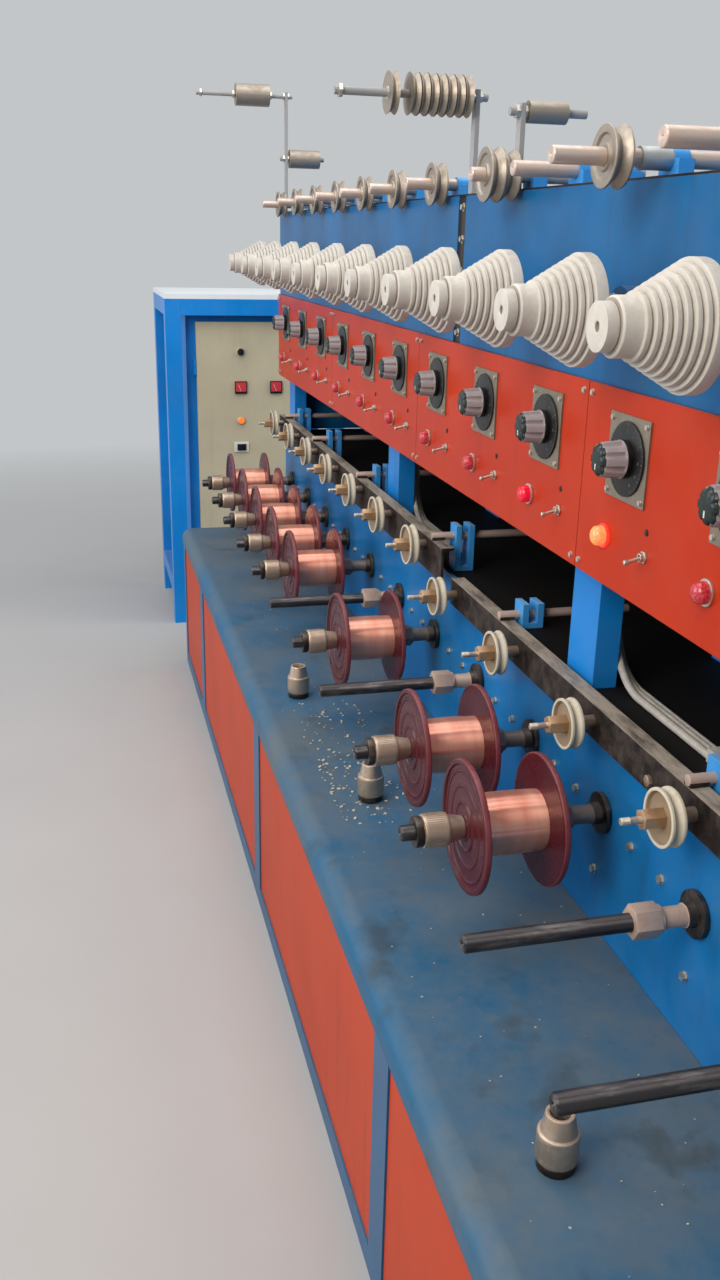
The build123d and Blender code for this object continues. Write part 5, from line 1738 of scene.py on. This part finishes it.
@dataclass
class Body:
    """The painted body: bench, housing, uprights, panels, covers and stand."""

    machine: Machine
    panel: float = 380.0
    rear: float = 700.0
    cover_rows: tuple = (872.0, 1570.0)
    bench: float = 508.6
    heaps: tuple = ((1680.0, 205.0, 3.3, 0.32, 160.0, 1.8, 7), (1360.0, 150.0, 0.62, 0.15, 1500.0, 3.6, 11),
                    (1250.0, 120.0, 0.30, 0.10, 1700.0, 4.6, 5))

    def dress(self) -> None:
        """Give the CAD nodes that stay their finishes."""
        finishes = self.machine.finishes
        for node, finish in {
            "bench_body": finishes.frame_blue, "bench_panels": finishes.panel_orange,
            "bench_top": finishes.bench_blue, "spindle_panel": finishes.panel_blue,
            "drive_housing": finishes.ledge_blue, "uprights": finishes.body_blue,
            "covers": finishes.cover_blue, "fascia_panels": finishes.fascia_orange,
            "upper_panels": finishes.upper_blue, "dial_plates": finishes.plate_steel,
            "bearing_blocks": finishes.block_blue, "roller_posts": finishes.post_grey,
            "overhead_rollers": finishes.roller_steel, "cabinet_body": finishes.body_blue,
            "cabinet_door": finishes.cabinet_beige, "stand_frame": finishes.body_blue,
            "stand_top": finishes.laminate, "cable_looms": finishes.cable_grey,
        }.items():
            self.machine.dress(node, finish)

    def bolts(self) -> None:
        """Bolt the seam strip, the spindle panel, and the rear and end covers."""
        rows = [Bolts((1440.0, 365.0, 1345.0), (0, 0, 56.0), 5, corners=11),
                Bolts((150.0, self.panel, 599.0), (HEAD_PITCH, 0, 0), HEAD_COUNT, corners=12)]
        rows += [Bolts((HEAD_PITCH + side, self.panel, 695.0), (HEAD_PITCH, 0, 0), HEAD_COUNT - 1, corners=12)
                 for side in (-45.0, 45.0)]
        for height in self.cover_rows:
            rows += [Bolts(start, step, count, facing, 10.0, 3.0, 13.0, sides=16)
                     for start, step, count, facing in (
                         ((60.0, self.rear, height), (HEAD_PITCH, 0, 0), HEAD_COUNT, Facing.BACK),
                         ((0.0, 460.0, height), (0, 90.0, 0), 3, Facing.NEAR_END),
                         ((HEAD_COUNT * HEAD_PITCH, 460.0, height), (0, 90.0, 0), 3, Facing.FAR_END))]
        self.machine.bolts("body_bolts", "machine", "plate_steel", rows, self.machine.finishes.bolt_steel)

    def scatter(self) -> None:
        """Scatter chips and dust balls on the bench top."""
        flake = self.machine.finishes.flake
        shape = Shape(flake)
        for place, depth, length, width, density, size, seed in self.heaps:
            shape.paste(self.machine.debris.mesh(
                Length=length, Width=width, Middle=world(place, depth, self.bench)[:], Density=density,
                Seed=seed, Chip_Size=size * MM, Finish=flake))
        shape.piece("bench_debris", "machine", "plate_steel")

    def build(self) -> None:
        """Dress the body and add its small parts."""
        self.dress()
        self.bolts()
        self.scatter()


@dataclass
class Studio:
    """Floor, lights and the camera at the photograph's place."""

    lens: float = 32.06
    eye: Point = (2.884, -0.710, 1.509)
    right: Point = (0.23959, 0.97066, 0.02009)
    up: Point = (-0.32645, 0.06106, 0.94323)
    ahead: Point = (-0.91434, 0.23255, -0.33150)
    backdrop: str = "#C3C6C8"
    ambient: str = "#B9BEC4"
    floor_half: float = 14.0
    fade: tuple[float, float] = (2.4, 6.0)
    lamps: tuple = (("key_lamp", (3.2, -3.4, 3.4), (0.4, 0.0, 0.9), 2.6, 172.0, "#FFF6EC"),
                    ("fill_lamp", (-1.2, -4.6, 2.1), (-0.4, 0.0, 0.8), 3.0, 115.0, "#EEF3FF"),
                    ("top_lamp", (0.2, -0.4, 4.6), (0.2, 0.0, 0.8), 4.0, 150.0, "#FFFFFF"),
                    ("rear_lamp", (0.0, 4.0, 3.2), (0.0, 0.2, 1.0), 3.0, 90.0, "#FFFFFF"))

    def camera(self) -> None:
        """Set the camera that took the photograph."""
        data = bpy.data.cameras.new("photo_camera")
        data.lens = self.lens
        data.sensor_width = 36.0
        data.sensor_fit = "AUTO"
        camera = bpy.data.objects.new("photo_camera", data)
        bpy.context.scene.collection.objects.link(camera)
        turn = Matrix((self.right, self.up, tuple(-value for value in self.ahead))).transposed().to_4x4()
        camera.matrix_world = Matrix.Translation(self.eye) @ turn
        bpy.context.scene.camera = camera

    def light(self, name: str, spot: Point, aim: Point, size: float, power: float, tint: str) -> None:
        """Add one soft lamp.

        Args:
            name: The lamp's name.
            spot: Where it hangs.
            aim: The point that it faces.
            size: Length of its sides, in metres.
            power: Its power, in watts.
            tint: Hex value of its colour.
        """
        data = bpy.data.lights.new(name, "AREA")
        data.shape = "SQUARE"
        data.size = size
        data.energy = power
        data.color = linear(tint)[:3]
        lamp = bpy.data.objects.new(name, data)
        bpy.context.scene.collection.objects.link(lamp)
        lamp.location = spot
        lamp.rotation_euler = (Vector(aim) - Vector(spot)).to_track_quat("-Z", "Y").to_euler()

    def seen(self, tree: bpy.types.NodeTree) -> Socket:
        """Tell rays that show the backdrop from rays that only light the machine.

        Args:
            tree: The tree that asks.

        Returns:
            1 for a ray from the camera, a reflection or clear plastic.
        """
        path = add_node(tree, "ShaderNodeLightPath").outputs
        seen = path["Is Camera Ray"]
        for kind in ("Is Glossy Ray", "Is Transmission Ray"):
            seen = add_node(tree, "ShaderNodeMath", {0: seen, 1: path[kind]}, operation="MAXIMUM").outputs[0]
        return seen

    def floor(self) -> None:
        """Lay a plain pale floor that fades into the backdrop far from the machine."""
        half = self.floor_half
        mesh = bpy.data.meshes.new("studio_floor")
        mesh.from_pydata([(-half, -half, 0), (half, -half, 0), (half, half, 0), (-half, half, 0)], [],
                         [(0, 1, 2, 3)])
        floor = bpy.data.objects.new("studio_floor", mesh)
        bpy.context.scene.collection.objects.link(floor)
        p = Patterns("studio_floor_pale")
        near, far = self.fade
        colour = p.layered("#A3A2A0", (p.patches(900.0, 0.3, 0.7), "#A8A7A5"))
        shader = add_node(p.tree, "ShaderNodeBsdfPrincipled", {"Base Color": colour, "Roughness": 0.7})
        glow = add_node(p.tree, "ShaderNodeEmission", {"Color": linear(self.backdrop)})
        reach = add_node(p.tree, "ShaderNodeVectorMath", {0: p.place}, operation="LENGTH").outputs["Value"]
        faded = add_node(p.tree, "ShaderNodeMapRange", {0: reach, 1: near, 2: far}, clamp=True).outputs[0]
        share = add_node(p.tree, "ShaderNodeMath", {0: faded, 1: self.seen(p.tree)}, operation="MULTIPLY")
        blend = add_node(p.tree, "ShaderNodeMixShader",
                         {0: share.outputs[0], 1: shader.outputs[0], 2: glow.outputs[0]})
        p.tree.links.new(blend.outputs[0], p.output.inputs[0])
        mesh.materials.append(p.material)

    def sky(self) -> None:
        """Surround the machine with pale light, even and not too strong."""
        sky = bpy.data.worlds.new("studio_sky")
        sky.use_nodes = True
        tree = sky.node_tree
        tree.nodes.clear()
        seen = self.seen(tree)
        colour = add_node(tree, "ShaderNodeMix", {0: seen, 6: linear(self.ambient), 7: linear(self.backdrop)},
                          data_type="RGBA").outputs[2]
        strength = add_node(tree, "ShaderNodeMix", {0: seen, 2: 0.55, 3: 1.0}).outputs[0]
        background = add_node(tree, "ShaderNodeBackground", {"Color": colour, "Strength": strength})
        output = add_node(tree, "ShaderNodeOutputWorld")
        tree.links.new(background.outputs[0], output.inputs[0])
        bpy.context.scene.world = sky

    def build(self) -> None:
        """Set up the whole studio."""
        bpy.context.scene.view_settings.view_transform = "Standard"
        self.camera()
        self.floor()
        self.sky()
        for lamp in self.lamps:
            self.light(*lamp)


def main() -> None:
    """Build the dressed machine piece by piece."""
    logging.basicConfig(level=logging.INFO, format="%(name)s: %(message)s")
    Studio().build()
    machine = Machine()
    for kind in (Body, Spindles, Bobbins, Cones, Controls):
        kind(machine).build()
    Traverse(machine, "near", span=(0.0, 1390.0), front=358.0, top=871.0, leg=53.0, rods=(0.57, 1.6, 4.0),
             pulleys=(0.5, 1.51, 2.56, 3.66, 4.85), diameter=76.0, wheel=318.0, axis=845.0, reach=60.0,
             studs=(537.0,)).build()
    Traverse(machine, "far", span=(1430.0, 3304.0), front=348.0, top=922.0, leg=70.0,
             rods=(5.36, 7.71, 9.75, 11.43), pulleys=(5.5, 6.5, 7.5, 8.5, 9.5, 10.5, 11.5), diameter=84.0,
             wheel=313.0, axis=904.0, reach=52.0).build()
    for kind in (Sheaves, Overhead, Cabinet):
        kind(machine).build()


if __name__ == "__main__":
    main()
